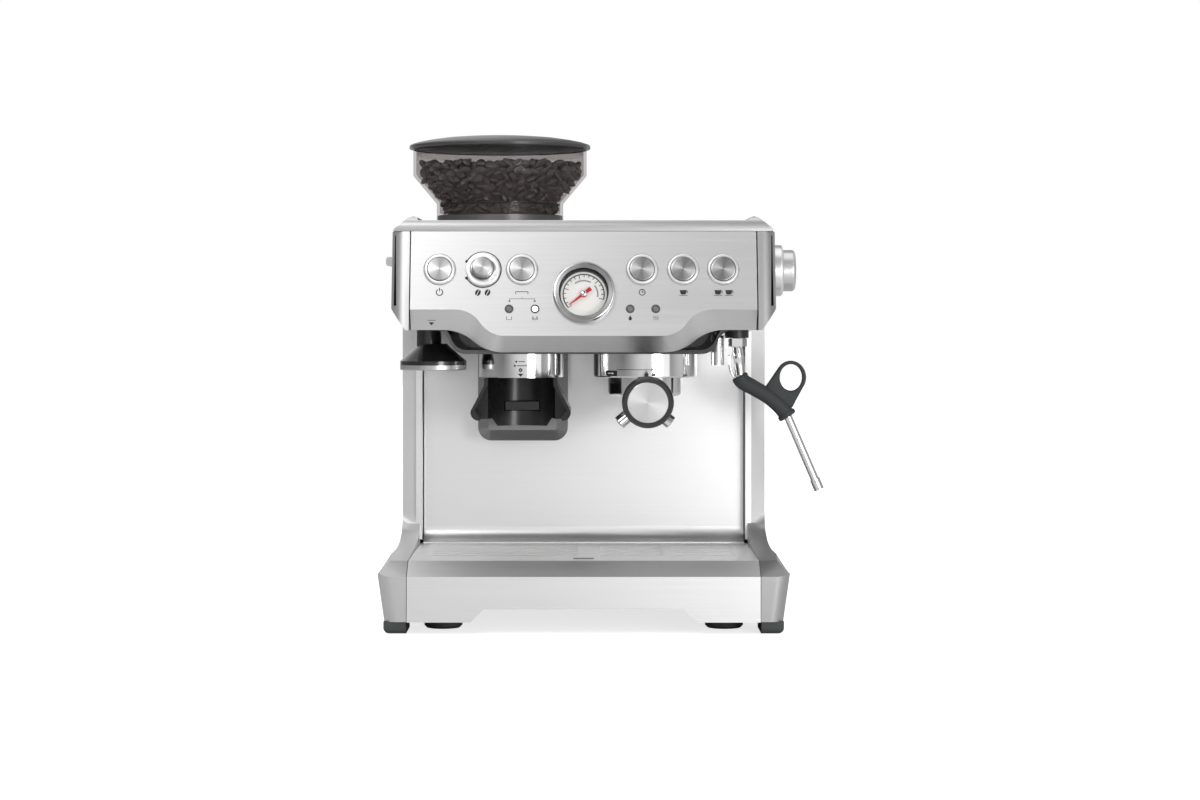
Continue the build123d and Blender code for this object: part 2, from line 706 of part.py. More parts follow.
def lower_burr():
    """Cone burr on its spindle."""
    base = head_top - burr_drop
    cone = turned([(0, -5), (28, -5), (28, -1), (17.5, 8), (13, 17), (0, 17)], hopper_x, hopper_y, base)
    return one(cone + rod(4, hopper_x, hopper_y, head_top - 72, base))


def hopper_bowl():
    z = head_top + cup_plate + 0.2
    t = hopper_wall
    neck = z + neck_height
    cone = neck + cone_height
    rim = cone + bowl_height
    outer = [(22, z - 15), (spigot_r, z - 15), (spigot_r, z), (hopper_neck_r, z), (hopper_neck_r, neck),
             (hopper_r, cone), (hopper_r, rim)]
    inner = [(hopper_r - t, rim), (hopper_r - t, cone + 1), (hopper_neck_r - t, neck + 1),
             (hopper_neck_r - t, z + 10), (22, z + 2)]
    return one(turned(outer + inner, hopper_x, hopper_y))


def bowl_rim():
    return head_top + cup_plate + 0.2 + neck_height + cone_height + bowl_height


def hopper_lid():
    """Domed lid with a plug rim that drops inside the bowl."""
    z = bowl_rim() + 0.2
    r = lid_r
    plug = hopper_r - hopper_wall - air
    lines = Line((0, 0), (plug - 2, 0))
    lines += Line((plug - 2, 0), (plug - 2, -6))
    lines += Line((plug - 2, -6), (plug, -6))
    lines += Line((plug, -6), (plug, 0))
    lines += Line((plug, 0), (r, 0))
    lines += Line((r, 0), (r, lid_edge))
    lines += TangentArc((0, lid_edge + lid_dome), (r, lid_edge), tangent=(1, 0))
    lines += Line((0, lid_edge + lid_dome), (0, 0))
    return one(Pos(hopper_x, hopper_y, z) * revolve(Plane.XZ * make_face(lines), axis=Axis.Z))


def hopper_lock():
    """Butterfly key at the bottom of the bowl."""
    z = head_top + cup_plate + 2.6
    key = rod(7, hopper_x, hopper_y, z, z + 24)
    key += tube(21, 18, hopper_x, hopper_y, z - 12, z + 0.5)
    key += block(hopper_x - 20, hopper_x + 20, hopper_y - 2, hopper_y + 2, z - 12, z + 0.5)
    key += block(hopper_x - 15, hopper_x + 15, hopper_y - 2.5, hopper_y + 2.5, z + 12, z + 26)
    return one(key)


# ---- brewing group ----
def group_base():
    return head_top - under_drop - collar_height


def group_collar():
    """Polished ring that takes the portafilter, with a notched ledge for its lugs."""
    low, top = group_base() + 0.6, head_top - under_drop
    bore = group_r - collar_wall
    collar = rod(group_r, group_x, group_y, low, top) - rod(bore, group_x, group_y, low - 1, top - 4.4)
    collar = one(collar)
    collar = fillet(collar.edges().group_by(Axis.Z)[0].sort_by(SortBy.RADIUS)[-1], 1.2)
    ledge = tube(bore + 1, body_r + 1, group_x, group_y, low, low + 3.6)
    for turn in (0, 180):
        ledge -= lug(-lock_angle + turn, low - 1, low + 5, 0.8)
    collar += ledge
    return one(collar - rod(3.5, group_x, group_y, low, top + 2))


def lug(angle, z0, z1, extra=0.0):
    """A locking lug of the portafilter, pointing along X at angle 0."""
    width = 2 * (body_r * 0.38 + extra)
    reach = body_r + lug_reach + extra
    bar = block(body_r - 3, reach, -width / 2, width / 2, z0, z1)
    bar &= rod(reach, 0, 0, z0, z1)
    return Pos(group_x, group_y, 0) * Rot(0, 0, angle) * bar


def group_gasket():
    top = head_top - under_drop - 4.4
    return one(tube(group_r - collar_wall, body_r - 1.4, group_x, group_y, top - 3.6, top))


def shower_screen():
    top = head_top - under_drop - 4.4
    screen = rod(body_r - 1.5, group_x, group_y, top - 2, top)
    for ring_r, count in ((8, 6), (16, 12), (23, 18)):
        for i in range(count):
            a = 2 * math.pi * i / count
            x, y = group_x + ring_r * math.cos(a), group_y + ring_r * math.sin(a)
            screen -= rod(0.8, x, y, top - 3, top + 1)
    return one(screen)


def body_top():
    return head_top - under_drop - 4.4 - 3.6 - 0.3 - 1.0


def portafilter_body():
    top = body_top()
    low = top - body_height
    cup = rod(body_r, group_x, group_y, low, top)
    cup = fillet(one(cup).edges().group_by(Axis.Z)[0], 3)
    for turn in (0, 180):
        ear = lug(turn, group_base() + 0.6 + 3.6 + air, group_base() + 4.6 + lug_height)
        cup += ear - rod(body_r - 1, group_x, group_y, 0, 400)
    frame, _ = handle_frame()
    cup += frame.location * Pos(0, 0, -arm_length / 2) * Cylinder(arm_r, arm_length)
    cup -= rod(body_r - body_wall, group_x, group_y, low + 4, top + 1)
    return one(cup - rod(3, group_x, group_y, low - 1, low + 5))


def filter_basket():
    top = body_top()
    r = body_r - body_wall - air
    cup = rod(r, group_x, group_y, top - body_height + 4.4, top)
    cup = fillet(one(cup).edges().group_by(Axis.Z)[0], 2)
    cup += rod(body_r - 0.5, group_x, group_y, top, top + 0.9)
    cup = one(cup)
    room = rod(r - basket_wall, group_x, group_y, top - body_height + 5.4, top + 2)
    cup -= room
    for ring_r, count in ((7, 6), (14, 12)):
        for i in range(count):
            a = 2 * math.pi * i / count
            x, y = group_x + ring_r * math.cos(a), group_y + ring_r * math.sin(a)
            cup -= rod(0.7, x, y, top - body_height + 4, top - body_height + 6)
    return one(cup)


def portafilter_spout():
    """Double spout, its ends splayed to both sides."""
    top = body_top() - body_height
    boss = rod(9, group_x, group_y, top - 9, top)
    bore = rod(3, group_x, group_y, top - 5, top + 1)
    for side in (-1, 1):
        start = Vector(group_x, group_y, top - 5)
        end = Vector(group_x + 21 * side, group_y - 3, top - 22)
        run = end - start
        frame = Plane(origin=start, z_dir=run.normalized())
        boss += frame.location * Pos(0, 0, run.length / 2) * Cylinder(5.6, run.length)
        bore += frame.location * Pos(0, 0, run.length / 2 + 1) * Cylinder(3.6, run.length + 2)
    return one(boss - bore)


def handle_frame():
    start = Vector(group_x, group_y - body_r - arm_length + 2, body_top() - 17.5)
    end = Vector(group_x - 1, group_y - handle_reach + 2, body_top() - 26.2)
    return Plane(origin=start, x_dir=(1, 0, 0), z_dir=(end - start).normalized()), (end - start).length


def portafilter_handle():
    frame, length = handle_frame()
    r, grip = handle_end_r, handle_grip_r
    lines = Line((0, 0), (9, 0))
    lines += Spline((9, 0), (10, 14), (grip, 42), (grip + 2.4, length * 0.75), (r, length - 5))
    lines += Line((r, length - 5), (r, length - 1.5))
    lines += Line((r, length - 1.5), (r - 1.5, length))
    lines += Line((r - 1.5, length), (cap_r, length))
    lines += Line((cap_r, length), (cap_r, length - 3))
    lines += Line((cap_r, length - 3), (0, length - 3))
    lines += Line((0, length - 3), (0, 0))
    return one(frame.location * revolve(Plane.XZ * make_face(lines), axis=Axis.Z))


def handle_cap():
    frame, length = handle_frame()
    cap = turned([(0, length - 3), (cap_r, length - 3), (cap_r, length - 0.3), (cap_r - 0.7, length + 0.3),
                  (0, length + 0.3)])
    return one(frame.location * cap)


# ---- inside ----
def thermocoil():
    """Cast water heater above the group."""
    low = head_top - under_drop + 3.4
    heater = rod(32, group_x, group_y + 22, low, low + 34)
    heater = one(heater)
    heater = fillet(heater.edges().group_by(Axis.Z)[-1], 5)
    return one(heater + rod(5, group_x, group_y + 22, low + 30, low + 40))


def pump_top():
    return 170.0


def water_pump():
    body = rod(18, group_x + 36, splash_y + 36, 92, pump_top() - 12)
    return one(body + rod(6, group_x + 36, splash_y + 36, 80, pump_top()))


def water_hoses():
    """Pressure hose from the pump to the heater."""
    x, y = group_x + 36, splash_y + 36
    top = head_top - under_drop + 3.4 + 40
    path = FilletPolyline((x, y, pump_top()), (x, y, top + 18), (group_x, group_y + 22, top + 18),
                          (group_x, group_y + 22, top), radius=12)
    start = Plane(origin=path @ 0, z_dir=path % 0)
    return one(sweep(start * Circle(3), path=path))


def hot_water_spout():
    low = head_top - 106.1
    return one(tube(water_r, 3.2, water_x, water_y, low, head_top - under_drop + 14))


# ---- steam wand ----
def ball_z():
    return head_top - wand_drop


def steam_mount():
    """Fixed socket over the wand's nut."""
    z = ball_z()
    boot = rod(ball_r + 4.6, wand_x, wand_y, z + 4.2, z + 15)
    return one(boot - Pos(wand_x, wand_y, z) * Sphere(ball_r + air))


def steam_nut():
    """Nut that turns in the mount and holds the ball."""
    z = ball_z()
    hexagon = extrude(Plane.XY.offset(z - 2.6) * RegularPolygon(ball_r + 3.2, 6), amount=6.4)
    nut = Pos(wand_x, wand_y, 0) * hexagon
    nut -= Pos(wand_x, wand_y, z) * Sphere(ball_r + 0.3)
    nut -= rod(ball_r - 0.4, wand_x, wand_y, z - 10, z)
    nut -= Pos(wand_x, wand_y, z - 2) * Cone(ball_r + 1.6, ball_r - 0.6, 4)
    return one(nut)


def wand_points():
    """Bends of the steam tube, from the ball to its tip."""
    return [Vector(wand_x + x, wand_y, ball_z() - drop) for x, drop in wand_bends]


def facing_front(origin):
    """Upright plane through a point, facing the front."""
    return Plane(origin=origin, x_dir=(1, 0, 0), z_dir=(0, -1, 0))


def steam_tube():
    """Bent steel tube, with the ball at its top and the tip at its end."""
    points = wand_points()
    path = FilletPolyline(*points, radius=9)
    bar = sweep(Plane(origin=path @ 0, z_dir=path % 0) * Circle(wand_tube_r), path=path)
    bar += Pos(*points[0]) * Sphere(ball_r)
    bar -= back_rod(tilt_pin_r, wand_x, ball_z(), wand_y - 2 * ball_r, wand_y + 2 * ball_r)
    run = (points[-1] - points[-2]).normalized()
    tip = Plane(origin=points[-1] - run * 9, z_dir=run)
    bar += tip.location * Pos(0, 0, 4.5) * Cylinder(4.1, 9)
    for turn in range(4):
        a = math.radians(45 + 90 * turn)
        hole = tip.location * Pos(3 * math.cos(a), 3 * math.sin(a), 8) * Cylinder(0.6, 4)
        bar -= hole
    return one(bar)


def wand_grip():
    """Rubber sleeve with a finger loop."""
    points = wand_points()
    a = points[1] + (points[2] - points[1]).normalized() * -1.5
    b, c = points[2], points[3] + (points[4] - points[3]).normalized() * 2.5
    grip = Pos(*a) * Sphere(grip_r)
    for p, q in ((a, b), (b, points[3]), (points[3], c)):
        run = q - p
        middle = Plane(origin=(p + q) / 2, z_dir=run.normalized())
        grip += middle.location * Cylinder(grip_r, run.length)
    grip += Pos(*b) * Sphere(grip_r)
    grip += Pos(*points[3]) * Sphere(grip_r)
    across, drop = loop_place
    loop = Vector(wand_x + across, wand_y, ball_z() - drop)
    ring = Ellipse(13.2, 15.2) + make_face(Polyline((-13, -4), (13, -3), (4, -30), (-16, -20), close=True))
    grip += extrude(facing_front(loop) * ring, amount=loop_thick / 2, both=True)
    grip -= extrude(facing_front(loop) * Ellipse(8.3, 10.6), amount=20, both=True)
    path = FilletPolyline(*points, radius=9)
    grip -= sweep(Plane(origin=path @ 0, z_dir=path % 0) * Circle(wand_tube_r), path=path)
    return one(grip)


# ---- tamper ----
def tamper_base():
    return head_top - 110.0


def tamper_disc():
    z = tamper_base()
    disc = one(rod(tamper_r, tamper_x, tamper_y, z, z + 4))
    return one(fillet(disc.edges().group_by(Axis.Z)[0], 0.8))


def tamper_handle():
    z = tamper_base() + 4
    profile = [(0, 0), (tamper_r, 0), (tamper_r, 3.2), (14, 14), (11, 17), (0, 17)]
    skirt = turned(profile, tamper_x, tamper_y, z)
    stem = one(rod(tamper_stem_r, tamper_stem_x, tamper_y, z + 6, z + 40))
    return one(skirt + stem)


# ---- water tank ----
def water_tank():
    half = tank_half_width
    tank = one(block(-half, half, tank_front, tank_rear, tank_floor, tank_top))
    tank = fillet(tank.edges().filter_by(Axis.Z), 8)
    t = tank_wall
    room = one(block(-half + t, half - t, tank_front + t, tank_rear - t, tank_floor + t, tank_top + 5))
    tank -= fillet(room.edges().filter_by(Axis.Z), 6)
    tank += rod(6.5, 40, (tank_front + tank_rear) / 2, tank_floor - 1.6, tank_floor + 1)
    return one(tank)


def lid_hinge():
    """Height of the tank lid's hinge line."""
    return tank_top + 0.5 + lid_sheet / 2


def tank_lid():
    """Flat lid whose rear edge is a barrel round its hinge line."""
    half = tank_half_width
    z = tank_top + 0.5
    lid = one(block(-half, half, tank_front, lid_hinge_y, z, z + lid_sheet))
    lid = fillet(lid.edges().filter_by(Axis.Z).sort_by(Axis.Y)[:2], 8)
    lid += side_rod(lid_sheet / 2, lid_hinge_y, lid_hinge(), -half, half)
    lid -= block(-28, 28, tank_front + 8, tank_front + 20, z + 1.5, z + 10)
    return one(lid)


# ---- drip tray ----
def drip_front():
    half = cover_inner - 0.5
    y, t = base_front, front_sheet
    face = [(y, floor_gap), (y, arm_nose), (y + bevel_depth, tray_top), (y + bevel_depth, tray_top - t),
            (y + t, arm_nose - t / 2), (y + t, floor_gap)]
    front = side_prism(face, -half, half)
    corners = [(-notch_low, floor_gap - 1), (-notch_high, notch_top), (notch_high, notch_top),
               (notch_low, floor_gap - 1)]
    notch = make_face(Polyline(*corners, close=True))
    front -= front_prism(notch, y - 5, y + 10)
    return one(front)


def drip_pan():
    half = cover_inner - 3
    y0, y1 = base_front + front_sheet + 0.2, splash_y - cove_r - 1.5
    top = tray_top - grid_sheet
    pan = block(-half, half, y0, y1, pan_floor, arm_nose - 4)
    pan += block(-half, half, y0 + bevel_depth, y1, pan_floor, top)
    t = pan_wall
    pan -= block(-half + t, half - t, y0 + t, y1 - t, pan_floor + t, top + 5)
    return one(pan)


def drip_grid():
    half = cover_inner - 0.5
    y0, y1 = base_front + bevel_depth + 0.2, splash_y - cove_r - 1
    grid = block(-half, half, y0, y1, tray_top - grid_sheet, tray_top)
    for row in range(slot_rows):
        y = -20 - 15.5 * row
        long_slot = SlotOverall(118, slot_width)
        grid -= extrude(Plane.XY.offset(tray_top - 5) * Pos(-63, y) * long_slot, amount=10)
        short_slot = SlotOverall(50, slot_width)
        for x in (38, 95):
            grid -= extrude(Plane.XY.offset(tray_top - 5) * Pos(x, y) * short_slot, amount=10)
    grid -= block(-8 - air, 8 + air, -127 - air, -119 + air, 0, 100)
    return one(grid)


def tray_float():
    """Float that rises through the grid when the pan is full."""
    stem = block(-8, 8, -127, -119, pan_floor + pan_wall + 0.3, tray_top + 0.4)
    return one(fillet(one(stem).edges().group_by(Axis.Z)[-1], 1.0))


# ---- small parts ----
def cord_gland():
    gland = turned([(2.6, -8), (5 - shaft_gap, -8), (5 - shaft_gap, 0), (8, 0), (7, 2), (2.6, 2)])
    return one(Pos(95, rear_face, 32) * Rot(-90, 0, 0) * gland)


def screws():
    heads = []
    for x in (9.2 - cover_inner, cover_inner - 9.2):
        for z in (30, 180, 295):
            heads.append(one(back_rod(3.2, x, z, rear_face, rear_face + 1.6)))
    return Compound(heads)


pieces = {
    "base_pan": base_pan,
    "rubber_feet": rubber_feet,
    "side_cover_left": side_cover_left,
    "side_cover_right": side_cover_right,
    "splash_panel": splash_panel,
    "rear_cover": rear_cover,
    "head_fascia": head_fascia,
    "head_underside": head_underside,
    "cup_tray": cup_tray,
    "control_bezels": control_bezels,
    "grind_amount_dial": grind_amount_dial,
    "grind_size_dial": grind_size_dial,
    "steam_dial": steam_dial,
    "gauge_bezel": gauge_bezel,
    "gauge_dial": gauge_dial,
    "gauge_lens": gauge_lens,
    "gauge_needle": gauge_needle,
    "indicator_lamps": indicator_lamps,
    "grinder_outlet_collar": grinder_outlet_collar,
    "grind_cradle": grind_cradle,
    "grind_switch": grind_switch,
    "cradle_frame": cradle_frame,
    "grinder_case": grinder_case,
    "grinder_motor": grinder_motor,
    "upper_burr": upper_burr,
    "lower_burr": lower_burr,
    "hopper_bowl": hopper_bowl,
    "hopper_lid": hopper_lid,
    "hopper_lock": hopper_lock,
    "group_collar": group_collar,
    "group_gasket": group_gasket,
    "shower_screen": shower_screen,
    "portafilter_body": portafilter_body,
    "filter_basket": filter_basket,
    "portafilter_spout": portafilter_spout,
    "portafilter_handle": portafilter_handle,
    "handle_cap": handle_cap,
    "thermocoil": thermocoil,
    "water_pump": water_pump,
    "water_hoses": water_hoses,
    "hot_water_spout": hot_water_spout,
    "steam_mount": steam_mount,
    "steam_nut": steam_nut,
    "steam_tube": steam_tube,
    "wand_grip": wand_grip,
    "tamper_disc": tamper_disc,
    "tamper_handle": tamper_handle,
    "water_tank": water_tank,
    "tank_lid": tank_lid,
    "drip_front": drip_front,
    "drip_pan": drip_pan,
    "drip_grid": drip_grid,
    "tray_float": tray_float,
    "cord_gland": cord_gland,
    "screws": screws,
}


def build():
    """All pieces by name, in the machine's own place."""
    solids = {name: make() for name, make in pieces.items()}
    for name, x in {**left_buttons, **right_buttons}.items():
        solids[name] = push_button(x)
    return solids


def to_origin(solids):
    """The move that puts the origin under the middle of the whole object."""
    boxes = [solid.bounding_box() for solid in solids]
    x = [edge for box in boxes for edge in (box.min.X, box.max.X)]
    y = [edge for box in boxes for edge in (box.min.Y, box.max.Y)]
    low = min(box.min.Z for box in boxes)
    return Pos(-(min(x) + max(x)) / 2, -(min(y) + max(y)) / 2, -low)


parts = build()
frame_shift = to_origin(parts.values())
os.makedirs("parts", exist_ok=True)
for name, solid in parts.items():
    export_step(frame_shift * solid, f"parts/{name}.step")
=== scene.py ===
import json
import math
import random

import bpy
from mathutils import Matrix, Vector, noise


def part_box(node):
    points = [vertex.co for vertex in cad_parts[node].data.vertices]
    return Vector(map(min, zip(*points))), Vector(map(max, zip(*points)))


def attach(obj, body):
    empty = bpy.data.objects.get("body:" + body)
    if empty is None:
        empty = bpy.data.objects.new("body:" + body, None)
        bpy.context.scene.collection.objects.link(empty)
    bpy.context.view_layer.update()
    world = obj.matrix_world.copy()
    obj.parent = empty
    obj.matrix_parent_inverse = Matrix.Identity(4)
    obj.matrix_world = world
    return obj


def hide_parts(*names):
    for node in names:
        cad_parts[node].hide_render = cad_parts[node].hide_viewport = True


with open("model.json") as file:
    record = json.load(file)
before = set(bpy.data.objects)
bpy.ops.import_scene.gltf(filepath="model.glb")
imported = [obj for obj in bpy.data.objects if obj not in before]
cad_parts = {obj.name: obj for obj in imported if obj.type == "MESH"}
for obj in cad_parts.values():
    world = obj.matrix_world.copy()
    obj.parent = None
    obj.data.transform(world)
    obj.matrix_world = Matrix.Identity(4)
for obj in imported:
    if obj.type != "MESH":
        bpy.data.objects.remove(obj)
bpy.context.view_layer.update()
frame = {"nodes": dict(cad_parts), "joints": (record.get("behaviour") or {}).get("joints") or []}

MM = 0.001
WELD = 1e5                  # corners closer than 0.01 mm are one corner
INK_PROUD = 0.02            # printed signs above what they are printed on, in mm
nodes = frame["nodes"]
joints = {j["name"]: j for j in frame["joints"]}

# ---------- places that everything else is measured from ----------
left_cover, right_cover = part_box("side_cover_left"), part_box("side_cover_right")
mid_x = (left_cover[0].x + right_cover[1].x) / 2
tray_front_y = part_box("drip_front")[0].y
gauge_joint = joints["gauge_needle_turn"]
out = Vector(gauge_joint["axis"]).normalized()
right = Vector((1, 0, 0))
up = out.cross(right).normalized()
panel_centre = Vector(gauge_joint["pos_m"])


def middle(node):
    low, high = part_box(node)
    return (low + high) / 2


def panel_place(point):
    """Where a point lies on the control panel: mm right of the gauge's centre and mm up the panel."""
    return (point.x - panel_centre.x) / MM, (point - panel_centre).dot(up) / MM


def on_panel(x, rise, proud=0.0):
    """A point on the control panel: mm right of the gauge's centre, mm up the panel, mm out of it."""
    return panel_centre + right * x * MM + up * rise * MM + out * proud * MM


# ---------- shader nodes as expressions ----------
class Socket:
    """The output of a shader node; arithmetic on it adds Math nodes."""

    def __init__(self, finish, link):
        self.finish = finish
        self.link = link

    def math(self, operation, *others):
        inputs = dict(enumerate((self,) + others))
        return self.finish.node("Math", {"operation": operation}, inputs)

    def swapped(self, operation, other):
        return self.finish.node("Math", {"operation": operation}, {0: other, 1: self})

    def __add__(self, other):
        return self.math("ADD", other)

    __radd__ = __add__

    def __mul__(self, other):
        return self.math("MULTIPLY", other)

    __rmul__ = __mul__

    def __sub__(self, other):
        return self.math("SUBTRACT", other)

    def __rsub__(self, other):
        return self.swapped("SUBTRACT", other)

    def __pow__(self, other):
        return self.math("POWER", other)

    def clamp(self):
        return self.math("MAXIMUM", 0.0).math("MINIMUM", 1.0)


class Finish:
    """The node tree of one material, or of the world."""

    def __init__(self, name, owner=None):
        self.owner = owner or bpy.data.materials.new(name)
        self.owner.use_nodes = True
        self.tree = self.owner.node_tree
        self.tree.nodes.clear()

    def node(self, kind, settings=None, inputs=None, output=0):
        made = self.tree.nodes.new("ShaderNode" + kind)
        for key, value in (settings or {}).items():
            if key == "stops":
                self.set_stops(made.color_ramp, value)
            else:
                setattr(made, key, value)
        for key, value in (inputs or {}).items():
            if isinstance(value, Socket):
                self.tree.links.new(value.link, made.inputs[key])
            else:
                made.inputs[key].default_value = value
        return Socket(self, made.outputs[output])

    @staticmethod
    def set_stops(ramp, stops):
        while len(ramp.elements) < len(stops):
            ramp.elements.new(1.0)
        for element, (place, tone) in zip(ramp.elements, stops):
            element.position = place
            element.color = (tone, tone, tone, 1) if isinstance(tone, float) else (*tone, 1)

    def coords(self):
        return self.node("TexCoord", output="Object")

    def stretched(self, scale, offset=(0, 0, 0)):
        """Object coordinates, scaled along each axis."""
        moved = self.node("VectorMath", {"operation": "SUBTRACT"}, {0: self.coords(), 1: offset})
        return self.node("VectorMath", {"operation": "MULTIPLY"}, {0: moved, 1: scale})

    def noise(self, scale, detail=2.0, rough=0.5, at=None):
        inputs = {"Scale": scale, "Detail": detail, "Roughness": rough, "Vector": at or self.coords()}
        return self.node("TexNoise", inputs=inputs)

    def along(self, axis, centre):
        """Distance of the surface point from a centre, along an axis, in metres."""
        moved = self.node("VectorMath", {"operation": "SUBTRACT"}, {0: self.coords(), 1: centre})
        return self.node("VectorMath", {"operation": "DOT_PRODUCT"}, {0: moved, 1: axis}, output="Value")

    def blend(self, factor, a, b):
        """Colour a where factor is 0, colour b where it is 1."""
        colours = [(*c, 1) if isinstance(c, tuple) else c for c in (a, b)]
        return self.node("Mix", {"data_type": "RGBA"}, {0: factor, 6: colours[0], 7: colours[1]}, output=2)

    def bump(self, height, depth_mm, strength=1.0):
        return self.node("Bump", inputs={"Height": height, "Distance": depth_mm * MM, "Strength": strength})

    def surface(self, colour, rough, metal=0.0, normal=None, fixed=None):
        inputs = {"Base Color": (*colour, 1) if isinstance(colour, tuple) else colour,
                  "Roughness": rough, "Metallic": metal}
        if normal is not None:
            inputs["Normal"] = normal
        inputs.update(fixed or {})
        shader = self.node("BsdfPrincipled", inputs=inputs)
        return self.close(shader)

    def close(self, shader, end="OutputMaterial"):
        last = self.tree.nodes.new("ShaderNode" + end)
        self.tree.links.new(shader.link, last.inputs["Surface"])
        return self.owner


def grey(level):
    return (level, level, level)


# ---------- finishes ----------
def brushed(name, tone, grain=(9, 900, 900), rough=0.3, depth=0.3, tint=(1.0, 1.0, 1.0)):
    """Steel brushed along the axis with the small number in grain."""
    f = Finish(name)
    lines = f.noise(1.0, 4.0, 0.62, f.stretched(grain))
    broad = f.noise(7.0, 3.0)
    smudge = f.noise(2.6, 2.0)
    level = 0.9 + 0.2 * lines
    dark = tuple(tone * c * 0.8 for c in tint)
    light = tuple(min(1.0, tone * c * 1.12) for c in tint)
    colour = f.blend((level - 1.0) * 4.2 * depth + 0.5, dark, light)
    roughness = (rough - 0.07) + 0.16 * lines + 0.05 * broad + 0.03 * smudge
    return f.surface(colour, roughness, 1.0, f.bump(lines, 0.02, depth))


def polished(name, tone=0.86, rough=0.07):
    """Bright plated or polished steel with the faintest wiping marks."""
    f = Finish(name)
    wipe = f.noise(1.0, 3.0, 0.6, f.stretched((60, 60, 700)))
    broad = f.noise(22.0, 2.0)
    colour = f.blend(broad, grey(tone * 0.93), grey(tone))
    return f.surface(colour, rough + 0.05 * wipe + 0.03 * broad, 1.0, f.bump(wipe, 0.004, 0.2))


def spun_painted_sheen(name, centre, axis, tone=0.8, turn=0.6, rough=0.27, painted_sheen_contrast=0.58):
    """Steel turned on a lathe: ring bumps about a centre, and a painted fan-shaped highlight in its colour
    that stands in for the sheen the rings give.
    """
    f = Finish(name)
    axis = Vector(axis).normalized()
    side = axis.orthogonal().normalized() if abs(axis.y) < 0.5 else Vector((1, 0, 0))
    rise = axis.cross(side).normalized()
    u, v = f.along(tuple(side), tuple(centre)), f.along(tuple(rise), tuple(centre))
    radius = (u * u + v * v) ** 0.5
    angle = v.math("ARCTAN2", u)
    # painted highlight: bright and dark sectors about the centre (two broad, six fine), put into the colour
    # together with random grit
    painted_fan_highlight = (angle * 2.0 + turn).math("COSINE") * 0.5 + 0.5
    fine = (angle * 6.0 + turn * 2).math("COSINE") * 0.5 + 0.5
    rings = (radius * 9000.0).math("SINE") * 0.5 + 0.5
    grit = f.noise(900.0, 2.0)
    shade = (painted_fan_highlight ** 2.2) * 0.85 + (fine ** 2) * 0.14 + grit * 0.1
    colour = f.blend(shade.clamp(), grey(tone * (1 - painted_sheen_contrast)), grey(min(1.0, tone * 1.12)))
    height = rings * 0.6 + grit * 0.4
    return f.surface(colour, rough + 0.08 * grit, 1.0, f.bump(height, 0.01, 0.25))


def satin_metal(name, tone, rough=0.34):
    f = Finish(name)
    grit = f.noise(1500.0, 2.0)
    broad = f.noise(14.0, 3.0)
    colour = f.blend(broad, grey(tone * 0.92), grey(tone * 1.05))
    return f.surface(colour, rough + 0.1 * grit, 0.85, f.bump(grit, 0.01, 0.2))


def moulded(name, colour, rough=0.45, grain=2200.0, depth=0.02, coat=0.0):
    """Moulded plastic with a fine grain and a little unevenness in its gloss."""
    f = Finish(name)
    pits = f.node("TexVoronoi", inputs={"Scale": grain, "Vector": f.coords()})
    broad = f.noise(11.0, 3.0)
    dust = f.noise(160.0, 4.0, 0.7)
    tone = (0.35 * broad + 0.65 * dust)
    dark, light = tuple(c * 0.82 for c in colour), tuple(c * 1.2 for c in colour)
    roughness = rough + 0.14 * dust + 0.06 * broad - 0.07
    return f.surface(f.blend(tone, dark, light), roughness, 0.0, f.bump(pits, depth, 0.35),
                     {"Coat Weight": coat, "Coat Roughness": 0.12})


def smoked(name, tint, base=0.08, veil=0.04, cloud=0.03):
    """Thin clear plastic: tinted see-through, mirror-like at a low angle, with a little cloudiness."""
    f = Finish(name)
    haze = f.noise(40.0, 3.0)
    through = f.node("BsdfTransparent", inputs={"Color": (*tint, 1)})
    shade = f.blend(haze, grey(veil * 0.85), grey(veil))
    shine = f.node("BsdfPrincipled", inputs={"Base Color": shade, "Roughness": 0.05 + 0.06 * haze})
    edge = f.node("LayerWeight", inputs={"Blend": 0.25}, output="Facing")
    solid = base + cloud * haze + (edge ** 4) * 0.5
    return f.close(f.node("MixShader", inputs={0: solid.clamp(), 1: through, 2: shine}))


def printed(name, colour, rough=0.5):
    """Screen-printed ink."""
    f = Finish(name)
    grit = f.noise(2600.0, 2.0)
    tone = f.blend(grit, tuple(c * 0.85 for c in colour), tuple(min(1, c * 1.1) for c in colour))
    return f.surface(tone, rough + 0.15 * grit)


def roasted(name):
    """Roasted coffee beans: oily dark brown, in random lighter and darker blotches."""
    f = Finish(name)
    blotch = f.noise(120.0, 4.0, 0.6)
    fine = f.noise(900.0, 3.0)
    colour = f.blend(blotch, (0.1, 0.086, 0.078), (0.37, 0.325, 0.295))
    return f.surface(colour, 0.24 + 0.2 * fine, 0.0, f.bump(fine, 0.15, 0.4))


def glowing(name, colour, strength):
    f = Finish(name)
    grit = f.noise(600.0, 2.0)
    glow = f.blend(grit, tuple(c * 0.92 for c in colour), colour)
    light = {"Emission Color": glow, "Emission Strength": strength}
    return f.surface(colour, 0.3 + 0.1 * grit, 0.0, None, light)


def stage_floor(name):
    """Pale floor; the camera sees it evenly lit, with only a soft shadow round the object."""
    f = Finish(name)
    mottle = f.noise(3.0, 3.0)
    pale = f.blend(mottle, grey(0.92), grey(0.95))
    shown = f.node("BsdfPrincipled", inputs={"Base Color": pale, "Roughness": 0.6, "Emission Color": pale,
                                            "Emission Strength": 0.8})
    dim = f.blend(mottle, grey(0.72), grey(0.76))
    felt = f.node("BsdfPrincipled", inputs={"Base Color": dim, "Roughness": 0.7})
    seen = f.node("LightPath", output="Is Camera Ray")
    return f.close(f.node("MixShader", inputs={0: seen, 1: felt, 2: shown}))


